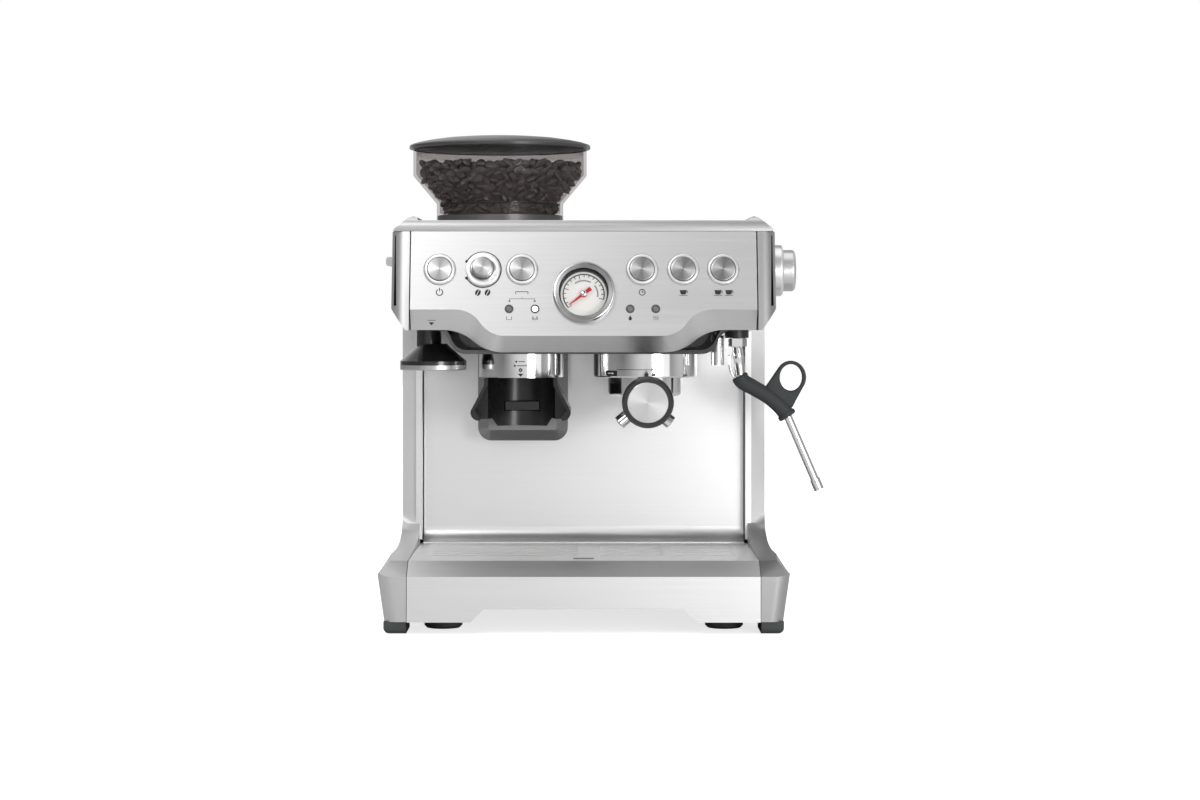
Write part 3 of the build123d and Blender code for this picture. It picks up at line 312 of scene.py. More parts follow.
steel_cross = brushed("steel_brushed_across", 0.75, rough=0.33, depth=0.5)
steel_tray = brushed("steel_tray_front", 0.84, rough=0.38, depth=0.4)
# painted light: the two side covers are one steel, but the left is given a lighter tone (0.68) and the right
# a darker one (0.54), as a lit side and a shaded side
left_cover_steel_painted_lit = brushed("steel_left_cover_painted_lit", 0.68, grain=(900, 9, 900), rough=0.36, depth=0.2)
right_cover_steel_painted_shade = brushed("steel_right_cover_painted_shade", 0.54, grain=(900, 9, 900), rough=0.36, depth=0.2)
steel_bright = brushed("steel_splash", 0.94, rough=0.32, depth=0.26)
steel_top = brushed("steel_top", 0.6, rough=0.32)
chrome = polished("polished_steel")
chrome_soft = polished("bright_plating", 0.8, 0.14)
frame_metal = satin_metal("bracket_satin", 0.3)
knob_satin = satin_metal("knob_satin", 0.72, 0.3)
black_gloss = moulded("black_gloss", (0.012, 0.012, 0.013), 0.2, 2600, 0.004, 0.5)
cradle_black = moulded("cradle_black", (0.011, 0.011, 0.012), 0.26, 2600, 0.004, 0.12)
black_satin = moulded("black_satin", (0.02, 0.02, 0.021), 0.36)
dark_grey = moulded("dark_grey_gloss", (0.05, 0.052, 0.053), 0.26, 2600, 0.006, 0.35)
case_grey = moulded("casing_grey", (0.06, 0.061, 0.063), 0.5)
lid_grey = moulded("lid_grey", (0.05, 0.047, 0.048), 0.3, 2600, 0.01, 0.2)
grip_rubber = moulded("grip_rubber", (0.034, 0.036, 0.038), 0.62, 1700, 0.03)
rubber = moulded("rubber_grey", (0.055, 0.057, 0.059), 0.62, 1700, 0.03)
smoke = smoked("smoked_plastic", (0.8, 0.785, 0.785), 0.07, 0.12)
smoke_thin = smoked("smoked_plug", (0.88, 0.87, 0.87), 0.04)
tank_smoke = smoked("tank_plastic", (0.74, 0.76, 0.78), 0.26, 0.3)
clear = smoked("clear_lens", (0.98, 0.98, 0.98), 0.02, 0.02, 0.01)
ink = printed("printed_black", (0.02, 0.02, 0.022))
# painted light: the dial, and the arrow drawn in the same white, give off a faint even glow of their own,
# though no lamp is behind them
painted_glow_dial_white = glowing("dial_white_painted_glow", (0.86, 0.855, 0.83), 0.22)
ink_red = printed("needle_red", (0.62, 0.02, 0.03))
ink_grey = printed("dial_grey", (0.42, 0.42, 0.42))
pearl = satin_metal("pearl_ring", 0.9, 0.3)
lamp_rim = satin_metal("lamp_rim", 0.12, 0.4)
lamp_dark = moulded("lamp_dark", (0.17, 0.17, 0.17), 0.3)
lamp_lit = glowing("lamp_lit", (1.0, 1.0, 0.98), 1.6)
beans_brown = roasted("roasted_beans")
cast = satin_metal("cast_alloy", 0.45, 0.5)
burr = brushed("burr_steel", 0.4)

cad_finish = {
    steel_cross: ["head_fascia"],
    steel_tray: ["drip_front"],
    left_cover_steel_painted_lit: ["side_cover_left"],
    right_cover_steel_painted_shade: ["side_cover_right"],
    steel_bright: ["splash_panel", "drip_grid"],
    steel_top: ["cup_tray", "tamper_disc"],
    chrome: ["group_collar", "grinder_outlet_collar", "portafilter_body", "portafilter_spout",
             "hot_water_spout", "steam_nut", "steam_tube"],
    pearl: ["control_bezels"],
    chrome_soft: ["filter_basket", "shower_screen", "screws"],
    frame_metal: ["cradle_frame"],
    knob_satin: ["steam_dial", "grind_size_dial"],
    cradle_black: ["grind_cradle"],
    black_gloss: ["tamper_handle", "portafilter_handle", "grind_switch"],
    black_satin: ["steam_mount", "hopper_lock", "cord_gland"],
    dark_grey: ["head_underside", "tray_float"],
    case_grey: ["base_pan", "rear_cover", "drip_pan", "grinder_case"],
    lid_grey: ["hopper_lid"],
    rubber: ["rubber_feet", "wand_grip", "group_gasket", "water_hoses"],
    smoke: ["hopper_bowl"],
    tank_smoke: ["water_tank", "tank_lid"],
    clear: ["gauge_lens"],
    painted_glow_dial_white: ["gauge_dial"],
    ink_red: ["gauge_needle"],
    lamp_dark: ["indicator_lamps"],
    cast: ["thermocoil", "grinder_motor", "water_pump"],
    burr: ["upper_burr", "lower_burr"],
}


def dress(node, finish):
    mesh = nodes[node].data
    mesh.materials.clear()
    mesh.materials.append(finish)


for finish, names in cad_finish.items():
    for name in names:
        dress(name, finish)
# each spun part gets its own painted fan highlight, turned to the angle given here
button_sheen_turns = {"power_button": 0.3, "filter_size_button": 0.5, "program_button": 0.4, "one_cup_button": 0.8,
                "two_cup_button": 0.6}
for name, turn in button_sheen_turns.items():
    dress(name, spun_painted_sheen("spun_" + name, middle(name), out, 0.8, turn, painted_sheen_contrast=0.66))
dress("gauge_bezel", spun_painted_sheen("turned_gauge_ring_painted_sheen", panel_centre, out, 0.92, 0.5, 0.1, 0.62))
dress("grind_amount_dial", spun_painted_sheen("spun_grind_amount_dial", middle("grind_amount_dial"), out, 0.74, 0.9))
handle_axis = Vector((0, -1, -0.08))
dress("handle_cap", spun_painted_sheen("spun_handle_cap", middle("handle_cap"), handle_axis, 1.0, 0.9, 0.2, 0.3))


# ---------- mesh helpers ----------
def piece(name, points, faces, finish, body, slot, smooth_angle=35):
    mesh = bpy.data.meshes.new(name)
    mesh.from_pydata([tuple(p) for p in points], [], faces)
    mesh.validate()
    mesh.update()
    obj = bpy.data.objects.new(name, mesh)
    bpy.context.scene.collection.objects.link(obj)
    for polygon in mesh.polygons:
        polygon.use_smooth = True
    mesh.set_sharp_from_angle(angle=math.radians(smooth_angle))
    mesh.materials.append(finish)
    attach(obj, body)
    return obj


def frame_of(centre, axis, side):
    """A matrix whose Z is the axis; its X is as near as can be to side."""
    z = Vector(axis).normalized()
    x = (side - z * side.dot(z)).normalized()
    y = z.cross(x)
    matrix = Matrix((x, y, z)).transposed().to_4x4()
    matrix.translation = Vector(centre)
    return matrix


def lathe(profile, steps=64, turn=(0, 2 * math.pi)):
    """Points and faces of a surface of revolution about Z from (radius, height) pairs in mm."""
    whole = abs(turn[1] - turn[0] - 2 * math.pi) < 1e-6
    count = steps if whole else steps + 1
    points = []
    for i in range(count):
        a = turn[0] + (turn[1] - turn[0]) * i / steps
        for r, h in profile:
            points.append(Vector((r * math.cos(a), r * math.sin(a), h)) * MM)
    n = len(profile)
    faces = []
    for i in range(steps):
        j = (i + 1) % count
        for k in range(n - 1):
            quad = (i * n + k, j * n + k, j * n + k + 1, i * n + k + 1)
            faces.append(quad)
    return points, faces


def placed(points, matrix):
    return [matrix @ p for p in points]


def arc_slab(r0, r1, a0, a1, low, high, steps=48):
    """A closed flat band along an arc, angles in degrees from X towards Y."""
    profile = [(r0, low), (r1, low), (r1, high), (r0, high), (r0, low)]
    points, faces = lathe(profile, steps, (math.radians(a0), math.radians(a1)))
    n = len(profile)
    last = steps * n
    faces += [(0, 1, 2, 3), (last + 3, last + 2, last + 1, last)]
    return points, faces


def plate(outline, low, high):
    """A closed slab from an outline of (x, y) pairs in mm."""
    n = len(outline)
    points = [Vector((x, y, low)) * MM for x, y in outline] + [Vector((x, y, high)) * MM for x, y in outline]
    faces = [tuple(reversed(range(n))), tuple(range(n, 2 * n))]
    faces += [(i, (i + 1) % n, n + (i + 1) % n, n + i) for i in range(n)]
    return points, faces


def joined(*shapes):
    """Several (points, faces) pairs as one."""
    points, faces = [], []
    for some_points, some_faces in shapes:
        base = len(points)
        points += some_points
        faces += [tuple(base + i for i in face) for face in some_faces]
    return points, faces


def shifted(shape, x, y, turn=0.0):
    """A flat shape moved in its own plane, in mm, after a turn in degrees."""
    matrix = Matrix.Translation((x * MM, y * MM, 0)) @ Matrix.Rotation(math.radians(turn), 4, "Z")
    return placed(shape[0], matrix), shape[1]


# ---------- gauge ----------
def panel_matrix(x, rise, proud=0.0):
    return frame_of(on_panel(x, rise, proud), out, right)


def add_flat(name, shape, x, rise, proud, finish=None, body="machine", slot="gloss_black"):
    points, faces = shape
    return piece(name, placed(points, panel_matrix(x, rise, proud)), faces, finish or ink, body, slot)


def gauge_scale():
    """Black arc with ticks and grey bands inside it, the lens's seal, and the needle's hub."""
    face = -4.5             # the dial's face, behind the panel
    first, sweep, count = 222, 237, 17
    arc = arc_slab(15.6, 16.4, first - sweep, first, 0, 0.12, 72)
    ticks = []
    for i in range(count):
        a = first - i * sweep / (count - 1)
        long = 3.2 if i % 4 == 0 else 1.8
        tick = plate([(15.6 - long, -0.25), (15.8, -0.25), (15.8, 0.25), (15.6 - long, 0.25)], 0, 0.12)
        ticks.append(shifted(tick, 0, 0, a))
    add_flat("gauge_scale", joined(arc, *ticks), 0, 0, face)
    bands = joined(arc_slab(10.4, 11.6, 60, 128, 0, 0.1, 30), arc_slab(10.4, 11.6, -12, 40, 0, 0.1, 24))
    add_flat("gauge_bands", bands, 0, 0, face, ink_grey)
    seal = lathe([(19.6, -0.4), (19.5, 0.2), (18.6, 0.3), (18.1, -1.0), (18.0, -3.6)], 72)
    add_flat("gauge_seal", seal, 0, 0, -0.6, black_satin)
    hub = lathe([(0, 0.9), (1.6, 0.8), (2.4, 0.3), (2.5, -0.4)], 40)
    add_flat("gauge_hub_cap", hub, 0, 0, -1.2, chrome, "gauge_needle", "polished_steel")


gauge_scale()


# ---------- printed symbols ----------
def ring(r0, r1, a0=0, a1=360, thick=0.1):
    return arc_slab(r0, r1, a0, a1, 0, thick, 40)


def bar(x0, x1, y0, y1, thick=0.1):
    return plate([(x0, y0), (x1, y0), (x1, y1), (x0, y1)], 0, thick)


def scaled(shape, factor):
    return [Vector((p.x * factor, p.y * factor, p.z)) for p in shape[0]], shape[1]


def steam_mark():
    """Three rising wisps."""
    wisps = []
    for x in (-1.6, 0, 1.6):
        for i in range(5):
            lean = 0.35 * math.sin(i * 1.3)
            wisps.append(bar(x + lean - 0.2, x + lean + 0.2, -1.8 + 0.75 * i, -1.0 + 0.75 * i))
    return joined(*wisps)


def triangle_down(size):
    return plate([(-size, size * 0.55), (0, -size * 0.55), (size, size * 0.55)], 0, 0.1)


def power_mark():
    return joined(ring(1.7, 2.3, 120, 420), bar(-0.3, 0.3, 0.6, 2.9))


def cup_mark():
    bowl = plate([(-2.2, 1.4), (-1.7, -0.9), (-1.0, -1.4), (1.0, -1.4), (1.7, -0.9), (2.2, 1.4)], 0, 0.1)
    return joined(bowl, shifted(ring(0.5, 0.9, -80, 80), 2.0, 0.3), bar(-2.6, 2.6, -2.1, -1.8))


def bean_mark():
    left = plate([(math.cos(a) * 1.5 - 0.2, math.sin(a) * 2.1) for a in
                  [math.pi / 2 + math.pi * i / 10 for i in range(11)]], 0, 0.1)
    right_half = plate([(math.cos(a) * 1.5 + 0.2, math.sin(a) * 2.1) for a in
                        [-math.pi / 2 + math.pi * i / 10 for i in range(11)]], 0, 0.1)
    return joined(shifted(left, 0, 0, -25), shifted(right_half, 0, 0, -25))


def drop_mark():
    tip = [(0, 2.4)]
    round_part = [(1.5 * math.cos(a), -0.5 + 1.5 * math.sin(a)) for a in
                  [math.radians(25 - 23 * i) for i in range(11)]]
    return plate(tip + round_part, 0, 0.1)


def basket_mark(walls):
    """A filter basket in section, with one or two walls."""
    shapes = []
    for i in range(walls):
        d = i * 0.9
        shapes.append(bar(-2.4 + d, -2.0 + d, -1.2 + d, 1.5))
        shapes.append(bar(2.0 - d, 2.4 - d, -1.2 + d, 1.5))
        shapes.append(bar(-2.4 + d, 2.4 - d, -1.5 + d, -1.2 + d))
    return joined(*shapes)


def panel_marks():
    """A sign under each button and under the amount dial."""
    drop, size = 18.4, 1.25
    marks = {
        "mark_power": (power_mark(), "power_button"),
        "mark_grind_amount": (joined(shifted(bean_mark(), -3, 0), shifted(bean_mark(), 3, 0)),
                              "grind_amount_dial"),
        "mark_filter_size": (joined(bar(-4, 4, 0.2, 0.6), bar(-4, -3.6, -1.2, 0.6), bar(3.6, 4, -1.2, 0.6)),
                             "filter_size_button"),
        "mark_program": (joined(ring(1.6, 2.1), bar(-0.2, 0.2, 0, 1.6), bar(0, 1.2, -0.2, 0.2)),
                         "program_button"),
        "mark_one_cup": (cup_mark(), "one_cup_button"),
        "mark_two_cups": (joined(shifted(cup_mark(), -3.4, 0), shifted(cup_mark(), 3.4, 0)),
                          "two_cup_button"),
    }
    for name, (shape, button) in marks.items():
        x, rise = panel_place(middle(button))
        add_flat(name, scaled(shape, size), x, rise - drop, INK_PROUD)


def lamp_marks():
    """Rings round the lamps, one lamp lit, and what each one stands for."""
    rise = panel_place(middle("indicator_lamps"))[1]
    sign_drop, bracket_x, bracket_rise = 7.4, -48.0, 6.0
    signs = {-58.1: basket_mark(1), -37.9: basket_mark(2), 36.2: drop_mark(), 56.1: steam_mark()}
    for i, (x, sign) in enumerate(signs.items()):
        rim = lathe([(3.5, 0.05), (3.4, 0.5), (2.9, 0.6), (2.3, 0.35), (2.2, -0.2)], 32)
        add_flat("lamp_ring_%d" % i, rim, x, rise, 0, lamp_rim, slot="lamp")
        dome = lathe([(0, 0.75), (1.2, 0.62), (2.0, 0.35), (2.3, 0.0)], 24)
        lamp = add_flat("lamp_dome_%d" % i, dome, x, rise, 0, lamp_lit if i == 1 else lamp_dark, slot="lamp")
        if i == 0:
            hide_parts("indicator_lamps")
        add_flat("lamp_sign_%d" % i, scaled(sign, 0.9), x, rise - sign_drop, INK_PROUD)
    bracket = joined(bar(-10, 10, 1.9, 2.2), bar(-10, -9.7, 0, 2.2), bar(9.7, 10, 0, 2.2),
                     shifted(triangle_down(1.1), -9.85, 0), shifted(triangle_down(1.1), 9.85, 0),
                     bar(-0.15, 0.15, 2.2, 3.6))
    add_flat("filter_bracket", bracket, bracket_x, rise + bracket_rise, INK_PROUD)


def dial_scale():
    """Open ring round the grind amount dial, from little to much."""
    x, rise = panel_place(middle("grind_amount_dial"))
    ticks = [shifted(bar(13.0, 14.6, -0.14, 0.14), 0, 0, -150 + 20 * i) for i in range(16)]
    ends = [shifted(bar(12.6, 15.4, -1.1, 1.1), 0, 0, a) for a in (-152, 152)]
    add_flat("amount_scale", joined(ring(13.8, 14.7, -150, 150), *ticks, *ends), x, rise, INK_PROUD)
    collar = lathe([(13.0, 0.0), (12.9, 1.3), (12.0, 1.6), (10.6, 1.3), (10.2, 2.4), (9.4, 2.8),
                    (8.6, 2.5)], 64)
    add_flat("amount_collar", collar, x, rise, 0, chrome_soft, slot="polished_steel")


def button_outlines():
    for button in button_sheen_turns:
        x, rise = panel_place(middle(button))
        add_flat("outline_" + button, ring(12.15, 12.75, thick=0.25), x, rise, 0.0, ink_grey)


def resurfaced(node, finish):
    """The node's own shape again, with its gentle facets shaded as one curve."""
    source = nodes[node]
    points, places, faces = [], {}, []
    for polygon in source.data.polygons:
        corners = []
        for vertex in polygon.vertices:
            p = source.matrix_world @ source.data.vertices[vertex].co
            key = tuple(round(value * WELD) for value in p)
            if key not in places:
                places[key] = len(points)
                points.append(p)
            corners.append(places[key])
        if len(set(corners)) == len(corners):
            faces.append(corners)
    curve_angle = 33
    skin = piece(node + "_skin", points, faces, finish, "machine", "brushed_steel", curve_angle)
    weight = skin.modifiers.new("weight", "WEIGHTED_NORMAL")
    weight.keep_sharp = True
    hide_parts(node)


resurfaced("side_cover_left", left_cover_steel_painted_lit)
resurfaced("side_cover_right", right_cover_steel_painted_shade)
panel_marks()
lamp_marks()
dial_scale()
button_outlines()


def wrapped(name, shape, node, height, finish=None, proud=0.03):
    """A flat shape bent round the front of an upright cylinder, at a height in mm above its foot."""
    low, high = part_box(node)
    r = (high.x - low.x) / 2 + proud * MM
    axis = Vector(((low.x + high.x) / 2, (low.y + high.y) / 2, low.z + height * MM))
    points = []
    for p in shape[0]:
        angle = p.x / r
        points.append(axis + Vector(((r + p.z) * math.sin(angle), -(r + p.z) * math.cos(angle), p.y)))
    return piece(name, points, shape[1], finish or ink, "machine", "gloss_black")


def long_bar(x0, x1, y0, y1, parts=16):
    step = (x1 - x0) / parts
    return joined(*[bar(x0 + step * i, x0 + step * (i + 1), y0, y1) for i in range(parts)])


def padlock():
    return joined(bar(-1.6, 1.6, -1.5, 0.7), shifted(ring(0.8, 1.25, 0, 180), 0, 0.7))


def collar_marks():
    """Signs in place of the words on both collars."""
    hint = joined(shifted(ring(0.0, 0.8), -3.4, 6.9), bar(-1.6, 3.4, 6.6, 7.2),
                  shifted(ring(0.0, 0.8), -4.6, 3.6), long_bar(-2.8, 5.4, 3.3, 3.9, 6),
                  shifted(scaled(bean_mark(), 0.8), 0, 0.2))
    wrapped("outlet_signs", hint, "grinder_outlet_collar", 6.0)
    wrapped("outlet_arrow", triangle_down(2.2), "grinder_outlet_collar", 2.1)
    plate_mark = long_bar(-36.5, -24.5, -2.2, 2.2, 6)
    wrapped("insert_plate", plate_mark, "group_collar", 3.6)
    # the white arrow takes the dial's white with its painted glow
    wrapped("insert_arrow", joined(bar(-33.6, -28.6, -0.3, 0.3), shifted(triangle_down(1.0), -28.4, 0, 90)),
            "group_collar", 3.6, painted_glow_dial_white, 0.2)
    arrow = joined(long_bar(-24.5, 4.0, -0.22, 0.22), shifted(triangle_down(1.5), 5.0, 0, 90))
    wrapped("lock_arrow", arrow, "group_collar", 6.6)
    wrapped("lock_sign", padlock(), "group_collar", 2.9, proud=0.06)
    wrapped("lock_sign_spot", shifted(padlock(), 6.0, 0), "group_collar", 2.9, proud=0.06)


def tamper_sign():
    """Arrow on the head's left band, above the tamper and clear of the side cover."""
    x = panel_place(middle("tamper_handle"))[0]
    edge = panel_place(left_cover[1])[0]
    clear_of_edge, rise, proud = 16, -25.0, 0.6
    mark = joined(triangle_down(2.2), bar(-3.2, 3.2, 2.6, 3.0))
    add_flat("tamper_sign", mark, max(x, edge + clear_of_edge), rise, proud)


collar_marks()


# ---------- steam wand ----------
ball = Vector(joints["wand_tilt"]["pos_m"])


def by_wand(across, rise, depth=0.0):
    return ball + Vector((across, depth, rise)) * MM


def smooth_line(points, per_span=8):
    """Points along a curve through the given 2-D points."""
    ends = [tuple(2 * a - b for a, b in zip(points[0], points[1]))]
    ends += points + [tuple(2 * a - b for a, b in zip(points[-1], points[-2]))]
    line = []
    for i in range(1, len(ends) - 2):
        p0, p1, p2, p3 = (Vector(p) for p in ends[i - 1:i + 3])
        for k in range(per_span):
            t = k / per_span
            line.append(0.5 * (2 * p1 + (p2 - p0) * t + (2 * p0 - 5 * p1 + 4 * p2 - p3) * t * t
                               + (3 * p1 - p0 - 3 * p2 + p3) * t ** 3))
    return line + [Vector(points[-1])]


def swept(centre_line, steps=32):
    """Round bar along (across, rise, radius) points, closed at both ends."""
    points, faces = [], []
    n = len(centre_line)
    for i, (x, z, r) in enumerate(centre_line):
        before, after = centre_line[max(i - 1, 0)], centre_line[min(i + 1, n - 1)]
        run = Vector((after[0] - before[0], after[1] - before[1])).normalized()
        side = Vector((-run.y, run.x))
        for k in range(steps):
            a = 2 * math.pi * k / steps
            spread = r * math.cos(a)
            points.append(by_wand(x + side.x * spread, z + side.y * spread, r * math.sin(a)))
    for i in range(n - 1):
        for k in range(steps):
            m = (k + 1) % steps
            faces.append((i * steps + k, i * steps + m, (i + 1) * steps + m, (i + 1) * steps + k))
    faces.append(tuple(reversed(range(steps))))
    faces.append(tuple(range((n - 1) * steps, n * steps)))
    return points, faces


def finger_loop():
    """Flat ring with a web down to the sleeve, rounded at its edges."""
    cx, cz = 43.2, -27.2
    hole_wide, hole_tall, rim_wide, rim_tall = 8.9, 10.5, 12.1, 13.3
    half_thick = 3.4
    outer = [(cx + rim_wide * math.cos(a), cz + rim_tall * math.sin(a)) for a in
             [math.radians(141 - 166 * i / 24) for i in range(25)]]
    outer += [(46.2, -47.5), (44.6, -51.0), (38.0, -53.0), (26.0, -42.0), (22.6, -35.0), (25.0, -31.6)]
    points, faces = [], []
    steps, section = 96, 20
    for i in range(steps):
        a = 2 * math.pi * i / steps
        ray = Vector((math.cos(a), math.sin(a)))
        inner_r = 1 / math.hypot(ray.x / hole_wide, ray.y / hole_tall)
        outer_r = max(reach_to(ray, (cx, cz), outer), inner_r + 1)
        for k in range(section):
            b = 2 * math.pi * k / section
            t = 0.5 - 0.5 * math.copysign(abs(math.cos(b)) ** 0.45, math.cos(b))
            y = half_thick * math.copysign(abs(math.sin(b)) ** 0.5, math.sin(b))
            r = inner_r + (outer_r - inner_r) * t
            points.append(by_wand(cx + ray.x * r, cz + ray.y * r, y))
    for i in range(steps):
        j = (i + 1) % steps
        for k in range(section):
            m = (k + 1) % section
            faces.append((i * section + k, i * section + m, j * section + m, j * section + k))
    return points, faces


def reach_to(ray, centre, outline):
    """How far a ray from the centre goes before it meets the outline."""
    best = 0.0
    for (x0, z0), (x1, z1) in zip(outline, outline[1:] + outline[:1]):
        ax, az, bx, bz = x0 - centre[0], z0 - centre[1], x1 - x0, z1 - z0
        cross = ray.x * bz - ray.y * bx
        if abs(cross) < 1e-9:
            continue
        t = (ax * bz - az * bx) / cross
        u = (ax * ray.y - az * ray.x) / cross
        if t > 0 and 0 <= u <= 1:
            best = max(best, t)
    return best


def splash_strips_painted_light():
    """Edge strips on both sides of the splash panel, laid over the side covers in the splash's brighter
    steel: painted light over the covers' shaded strips.
    """
    low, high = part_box("splash_panel")
    gap, wide, thick, end_gap = 1.0 * MM, 4.9 * MM, 0.25 * MM, 4 * MM
    face = low.y + 0.5 * MM
    faces = [(0, 2, 3, 1), (4, 5, 7, 6), (0, 1, 5, 4), (2, 6, 7, 3), (0, 4, 6, 2), (1, 3, 7, 5)]
    for name, edge, side in (("left", low.x, -1), ("right", high.x, 1)):
        inner = edge + side * gap
        box_x = sorted((inner, inner + side * wide))
        box_z = (low.z + end_gap, high.z - end_gap)
        corners = [Vector((x, y, z)) for z in box_z for y in (face - thick, face) for x in box_x]
        piece("splash_strip_" + name, corners, faces, steel_bright, "machine", "brushed_steel")


def wand_parts():
    """Rubber grip with its finger loop, and the polished parts above it."""
    line = smooth_line([(2.0, -25.9), (5.0, -30.6), (12.5, -35.0), (24.0, -41.6), (32.5, -48.4),
                        (37.6, -53.6), (40.9, -58.6)])
    radii = []
    for i in range(len(line)):
        t = i / (len(line) - 1)
        radii.append(6.75 - 0.6 * math.sin(math.pi * min(t, 0.9)) + (0.9 if t > 0.9 else 0.0))
    radii[0], radii[1] = 5.6, 6.5
    radii[-1] = 6.6
    sleeve = swept([(p.x, p.y, r) for p, r in zip(line, radii)])
    sleeve_obj = piece("grip_sleeve", *sleeve, grip_rubber, "steam_wand", "rubber_grey", 50)
    piece("grip_loop", *finger_loop(), grip_rubber, "steam_wand", "rubber_grey", 50)
    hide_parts("wand_grip")
    neck = [(0.4, -3.5, 3.6), (0.9, -8, 4.3), (1.4, -12, 4.5), (1.5, -13, 4.1), (2.4, -21, 4.1),
            (2.9, -25.5, 4.1)]
    piece("wand_neck", *swept(neck, 28), chrome, "steam_wand", "polished_steel")
    rod = smooth_line([(-5.6, -11.0), (-5.4, -18.0), (-3.6, -24.5), (0.6, -29.6)], 6)
    bar_line = [(p.x, p.y, 1.25) for p in rod]
    piece("wand_rod", *swept(bar_line, 14), chrome, "steam_wand", "polished_steel")
    piece("wand_rod_tip", *swept([(-5.6, -9.2, 0.6), (-5.6, -9.9, 1.5), (-5.6, -12.4, 1.5)], 14), chrome,
          "steam_wand", "polished_steel")


wand_parts()
tamper_sign()
splash_strips_painted_light()


# ---------- beans ----------
def bean_shape(length=10.5, width=7.2, height=5.0, around=10, rows=7):
    """One bean: domed on one side, creased along the flat side."""
    points, faces = [], []
    for i in range(rows):
        a = math.pi * (i + 0.5) / rows
        ring_r, x = math.sin(a), -math.cos(a) * length / 2
        for j in range(around):
            b = 2 * math.pi * j / around
            y, z = math.cos(b) * width / 2 * ring_r, math.sin(b) * height / 2 * ring_r
            if z < 0:
                z *= 0.55
                z += 1.0 * max(0.0, 1 - abs(y) / 0.9) * ring_r
            points.append(Vector((x, y, z)) * MM)
    for i in range(rows - 1):
        for j in range(around):
            k = (j + 1) % around
            faces.append((i * around + j, i * around + k, (i + 1) * around + k, (i + 1) * around + j))
    faces.append(tuple(reversed(range(around))))
    faces.append(tuple(range((rows - 1) * around, rows * around)))
    return points, faces


hopper_low, hopper_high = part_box("hopper_bowl")
hopper_axis = Vector(((hopper_low.x + hopper_high.x) / 2, (hopper_low.y + hopper_high.y) / 2, 0))
neck_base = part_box("cup_tray")[1].z - 3.2 * MM


def bowl_room(height):
    """Inside radius of the hopper at a height in mm above its base."""
    neck_r, bowl_r, cone_foot, cone_tall = 50.4, 70.0, 18.7, 23.3
    share = (height - cone_foot) / cone_tall
    return neck_r + min(max(share, 0.0), 1.0) * (bowl_r - neck_r)


def lid():
    """Dark lid with a flat top and a rounded shoulder, on a see-through plug."""
    low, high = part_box("hopper_lid")
    outer = (high.x - low.x) / 2 / MM
    tall = (high.z - low.z) / MM
    seat = tall - 11.0
    base = Matrix.Translation(Vector(((low.x + high.x) / 2, (low.y + high.y) / 2, low.z)))
    shoulder = [(0, 0.5), (0, 2.6), (0.6, 3.3), (1.6, 3.8), (6, 5.2), (14, 6.9), (26, 8.7), (40, 9.9),
                (58, 10.7)]
    dome = [(outer - inward, seat + rise) for inward, rise in shoulder]
    disc = lathe([(0, seat), (outer - 0.6, seat)] + dome + [(0, tall)], 120)
    top = piece("lid_disc", placed(disc[0], base), disc[1], lid_grey, "hopper_lid", "grey_plastic", 25)
    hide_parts("hopper_lid")
    plug_r = outer - 6.2
    plug = lathe([(plug_r, seat), (plug_r, 0.1)], 96)
    piece("lid_plug", placed(plug[0], base), plug[1], smoke_thin, "hopper_lid", "smoked_clear", 25)
    under = lathe([(0, seat - 0.3), (plug_r - 0.6, seat - 0.3)], 96)
    piece("lid_underside", placed(under[0], base), under[1], frame_metal, "hopper_lid", "grey_plastic")
    # painted shadow: a thin black ring under the lid's shoulder stands for the shade line there
    seal = lathe([(outer - 3.6, seat - 0.9), (outer - 3.4, seat + 0.1)], 96)
    piece("lid_shadow_line", placed(seal[0], base), seal[1], black_satin, "hopper_lid", "dark_plastic")


def beans():
    """The outer layer of the beans that fill the hopper, and a dark core behind it."""
    draw = random.Random(11)
    count, most_tries, nearest = 640, 30000, 5.6
    shape, faces = bean_shape()
    base = Matrix.Translation(hopper_axis + Vector((0, 0, neck_base)))
    places = []
    tries = 0
    while len(places) < count and tries < most_tries:
        tries += 1
        if draw.random() < 0.6:
            height = draw.uniform(11, 47)
            radius = bowl_room(height) - draw.uniform(4.6, 7.5)
        else:
            radius = 66 * math.sqrt(draw.random())
            height = draw.uniform(46, 50) + 2.5 * noise.noise(Vector((radius / 30, draw.random(), 0)))
        angle = draw.uniform(0, 2 * math.pi)
        spot = Vector((radius * math.cos(angle), radius * math.sin(angle), height))
        if all((spot - other).length > nearest for other in places):
            places.append(spot)
    solids = []
    for spot in places:
        twist = Matrix.Rotation(draw.uniform(0, 2 * math.pi), 4, "Z")
        tip = Matrix.Rotation(draw.uniform(-1.2, 1.2), 4, "X")
        tip = tip @ Matrix.Rotation(draw.uniform(-0.8, 0.8), 4, "Y")
        size = draw.uniform(0.86, 1.08)
        matrix = base @ Matrix.Translation(spot * MM) @ twist @ tip
        solids.append((placed([p * size for p in shape], matrix), faces))
    points, faces = joined(*solids)
    piece("coffee_beans", points, faces, beans_brown, "hopper", "dark_plastic", 60)
    for name, profile, finish in (("neck_ring", [(52.4, 0.4), (52.4, 7.6), (51.0, 8.2)], frame_metal),
                                  ("neck_line", [(50.0, 16.4), (50.0, 17.8)], black_satin)):
        ring_points, ring_faces = lathe(profile, 96)
        piece(name, placed(ring_points, base), ring_faces, finish, "hopper", "grey_plastic")
    core = [(24, 4), (44, 4), (44, 19), (62, 42), (62, 45), (0, 47)]
    points, faces = lathe(core, 48)
    piece("bean_core", placed(points, base), faces, beans_brown, "hopper", "dark_plastic")


lid()
beans()


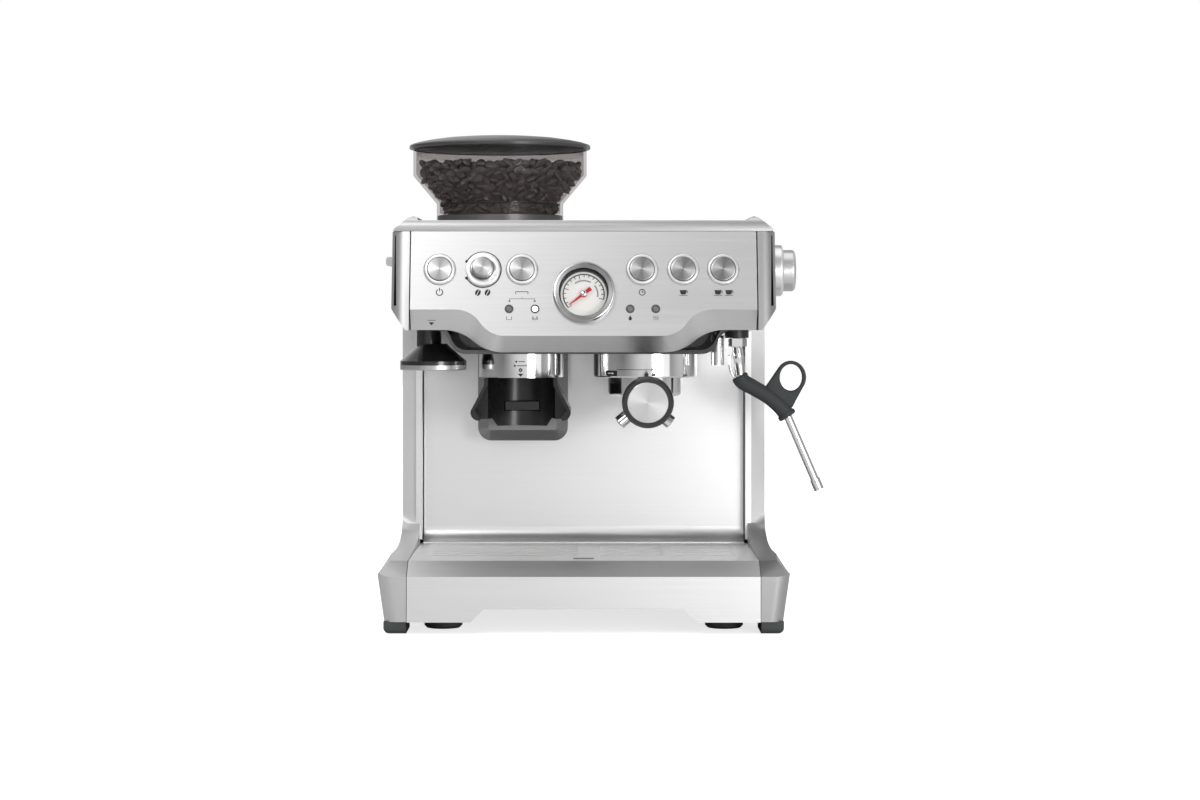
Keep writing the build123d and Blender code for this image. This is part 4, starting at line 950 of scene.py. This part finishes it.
# ---------- stage, light and camera ----------
def backdrop():
    mesh = bpy.data.meshes.new("floor")
    size = 6.0
    corners = [(-size, -size, 0), (size, -size, 0), (size, size, 0), (-size, size, 0)]
    mesh.from_pydata(corners, [], [(0, 1, 2, 3)])
    floor = bpy.data.objects.new("floor", mesh)
    bpy.context.scene.collection.objects.link(floor)
    mesh.materials.append(stage_floor("floor_pale"))


def area(name, at, aim, size, power):
    """A soft rectangular lamp."""
    data = bpy.data.lights.new(name, "AREA")
    data.shape = "RECTANGLE"
    data.size, data.size_y = size
    data.energy = power
    lamp = bpy.data.objects.new(name, data)
    bpy.context.scene.collection.objects.link(lamp)
    lamp.location = at
    lamp.rotation_euler = (Vector(aim) - Vector(at)).to_track_quat("-Z", "Y").to_euler()


def surroundings():
    """A studio seen by reflections as bright and dark upright bands, by matt surfaces as even light."""
    world = bpy.data.worlds.new("studio")
    bpy.context.scene.world = world
    f = Finish("studio", world)
    direction = f.node("TexCoord", output="Generated")
    across = f.node("SeparateXYZ", inputs={0: direction}, output="X") * 0.5 + 0.5
    height = f.node("SeparateXYZ", inputs={0: direction}, output="Z") * 0.5 + 0.5
    above = ((0.0, 0.4), (0.1, 0.3), (0.2, 0.3), (0.28, 0.85), (0.47, 0.88), (0.54, 0.14), (0.61, 0.1),
             (0.72, 0.75), (0.84, 0.6), (1.0, 0.3))
    below = ((0.0, 0.25), (0.12, 0.05), (0.22, 0.35), (0.38, 0.8), (0.5, 0.95), (0.6, 1.0), (0.72, 1.0),
             (0.84, 0.04), (0.93, 0.3), (1.0, 0.7))
    high = f.node("ValToRGB", {"stops": above}, {0: across})
    low = f.node("ValToRGB", {"stops": below}, {0: across})
    step = f.node("ValToRGB", {"stops": ((0.49, 0.0), (0.56, 1.0))}, {0: height})
    sky = f.node("ValToRGB", {"stops": ((0.0, 0.8), (0.5, 0.95), (0.75, 1.0), (1.0, 0.62))}, {0: height})
    bands = f.blend(step, low, high)
    multiply = {"data_type": "RGBA", "blend_type": "MULTIPLY"}
    seen = f.node("Mix", multiply, {0: 1.0, 6: bands, 7: sky}, output=2)
    glossy = f.node("LightPath", output="Is Glossy Ray")
    shown = f.node("LightPath", output="Is Camera Ray")
    light = f.blend(shown, f.blend(glossy, grey(0.55), seen), grey(1.0))
    f.close(f.node("Background", inputs={"Color": light, "Strength": 1.0}), "OutputWorld")


def camera():
    distance, eye_height = 1.975, 0.253
    data = bpy.data.cameras.new("camera")
    data.sensor_width = 36.0
    data.lens = 77.3
    data.shift_x = 0.0136
    data.shift_y = -0.0792
    data.clip_start = 0.05
    view = bpy.data.objects.new("camera", data)
    bpy.context.scene.collection.objects.link(view)
    view.location = (mid_x, tray_front_y - distance, eye_height)
    view.rotation_euler = (math.pi / 2, 0, 0)
    bpy.context.scene.camera = view


def lamps():
    head_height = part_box("head_fascia")[1].z
    front = tray_front_y
    area("key_left", (mid_x - 0.5, front - 0.75, head_height + 0.65), (mid_x, front, head_height - 0.1),
         (0.8, 0.5), 3.1)
    area("fill_right", (mid_x + 1.1, front - 1.2, head_height + 0.1), (mid_x, front, 0.15), (0.9, 0.9), 2.0)
    area("low_right", (mid_x + 0.72, front - 1.35, 0.16), (mid_x, 0, 0.14), (0.5, 0.6), 8.2)
    area("overhead", (mid_x, 0.0, 1.6), (mid_x, 0, 0.2), (1.6, 1.2), 6)


backdrop()
surroundings()
lamps()
camera()
bpy.context.scene.view_settings.view_transform = "Standard"
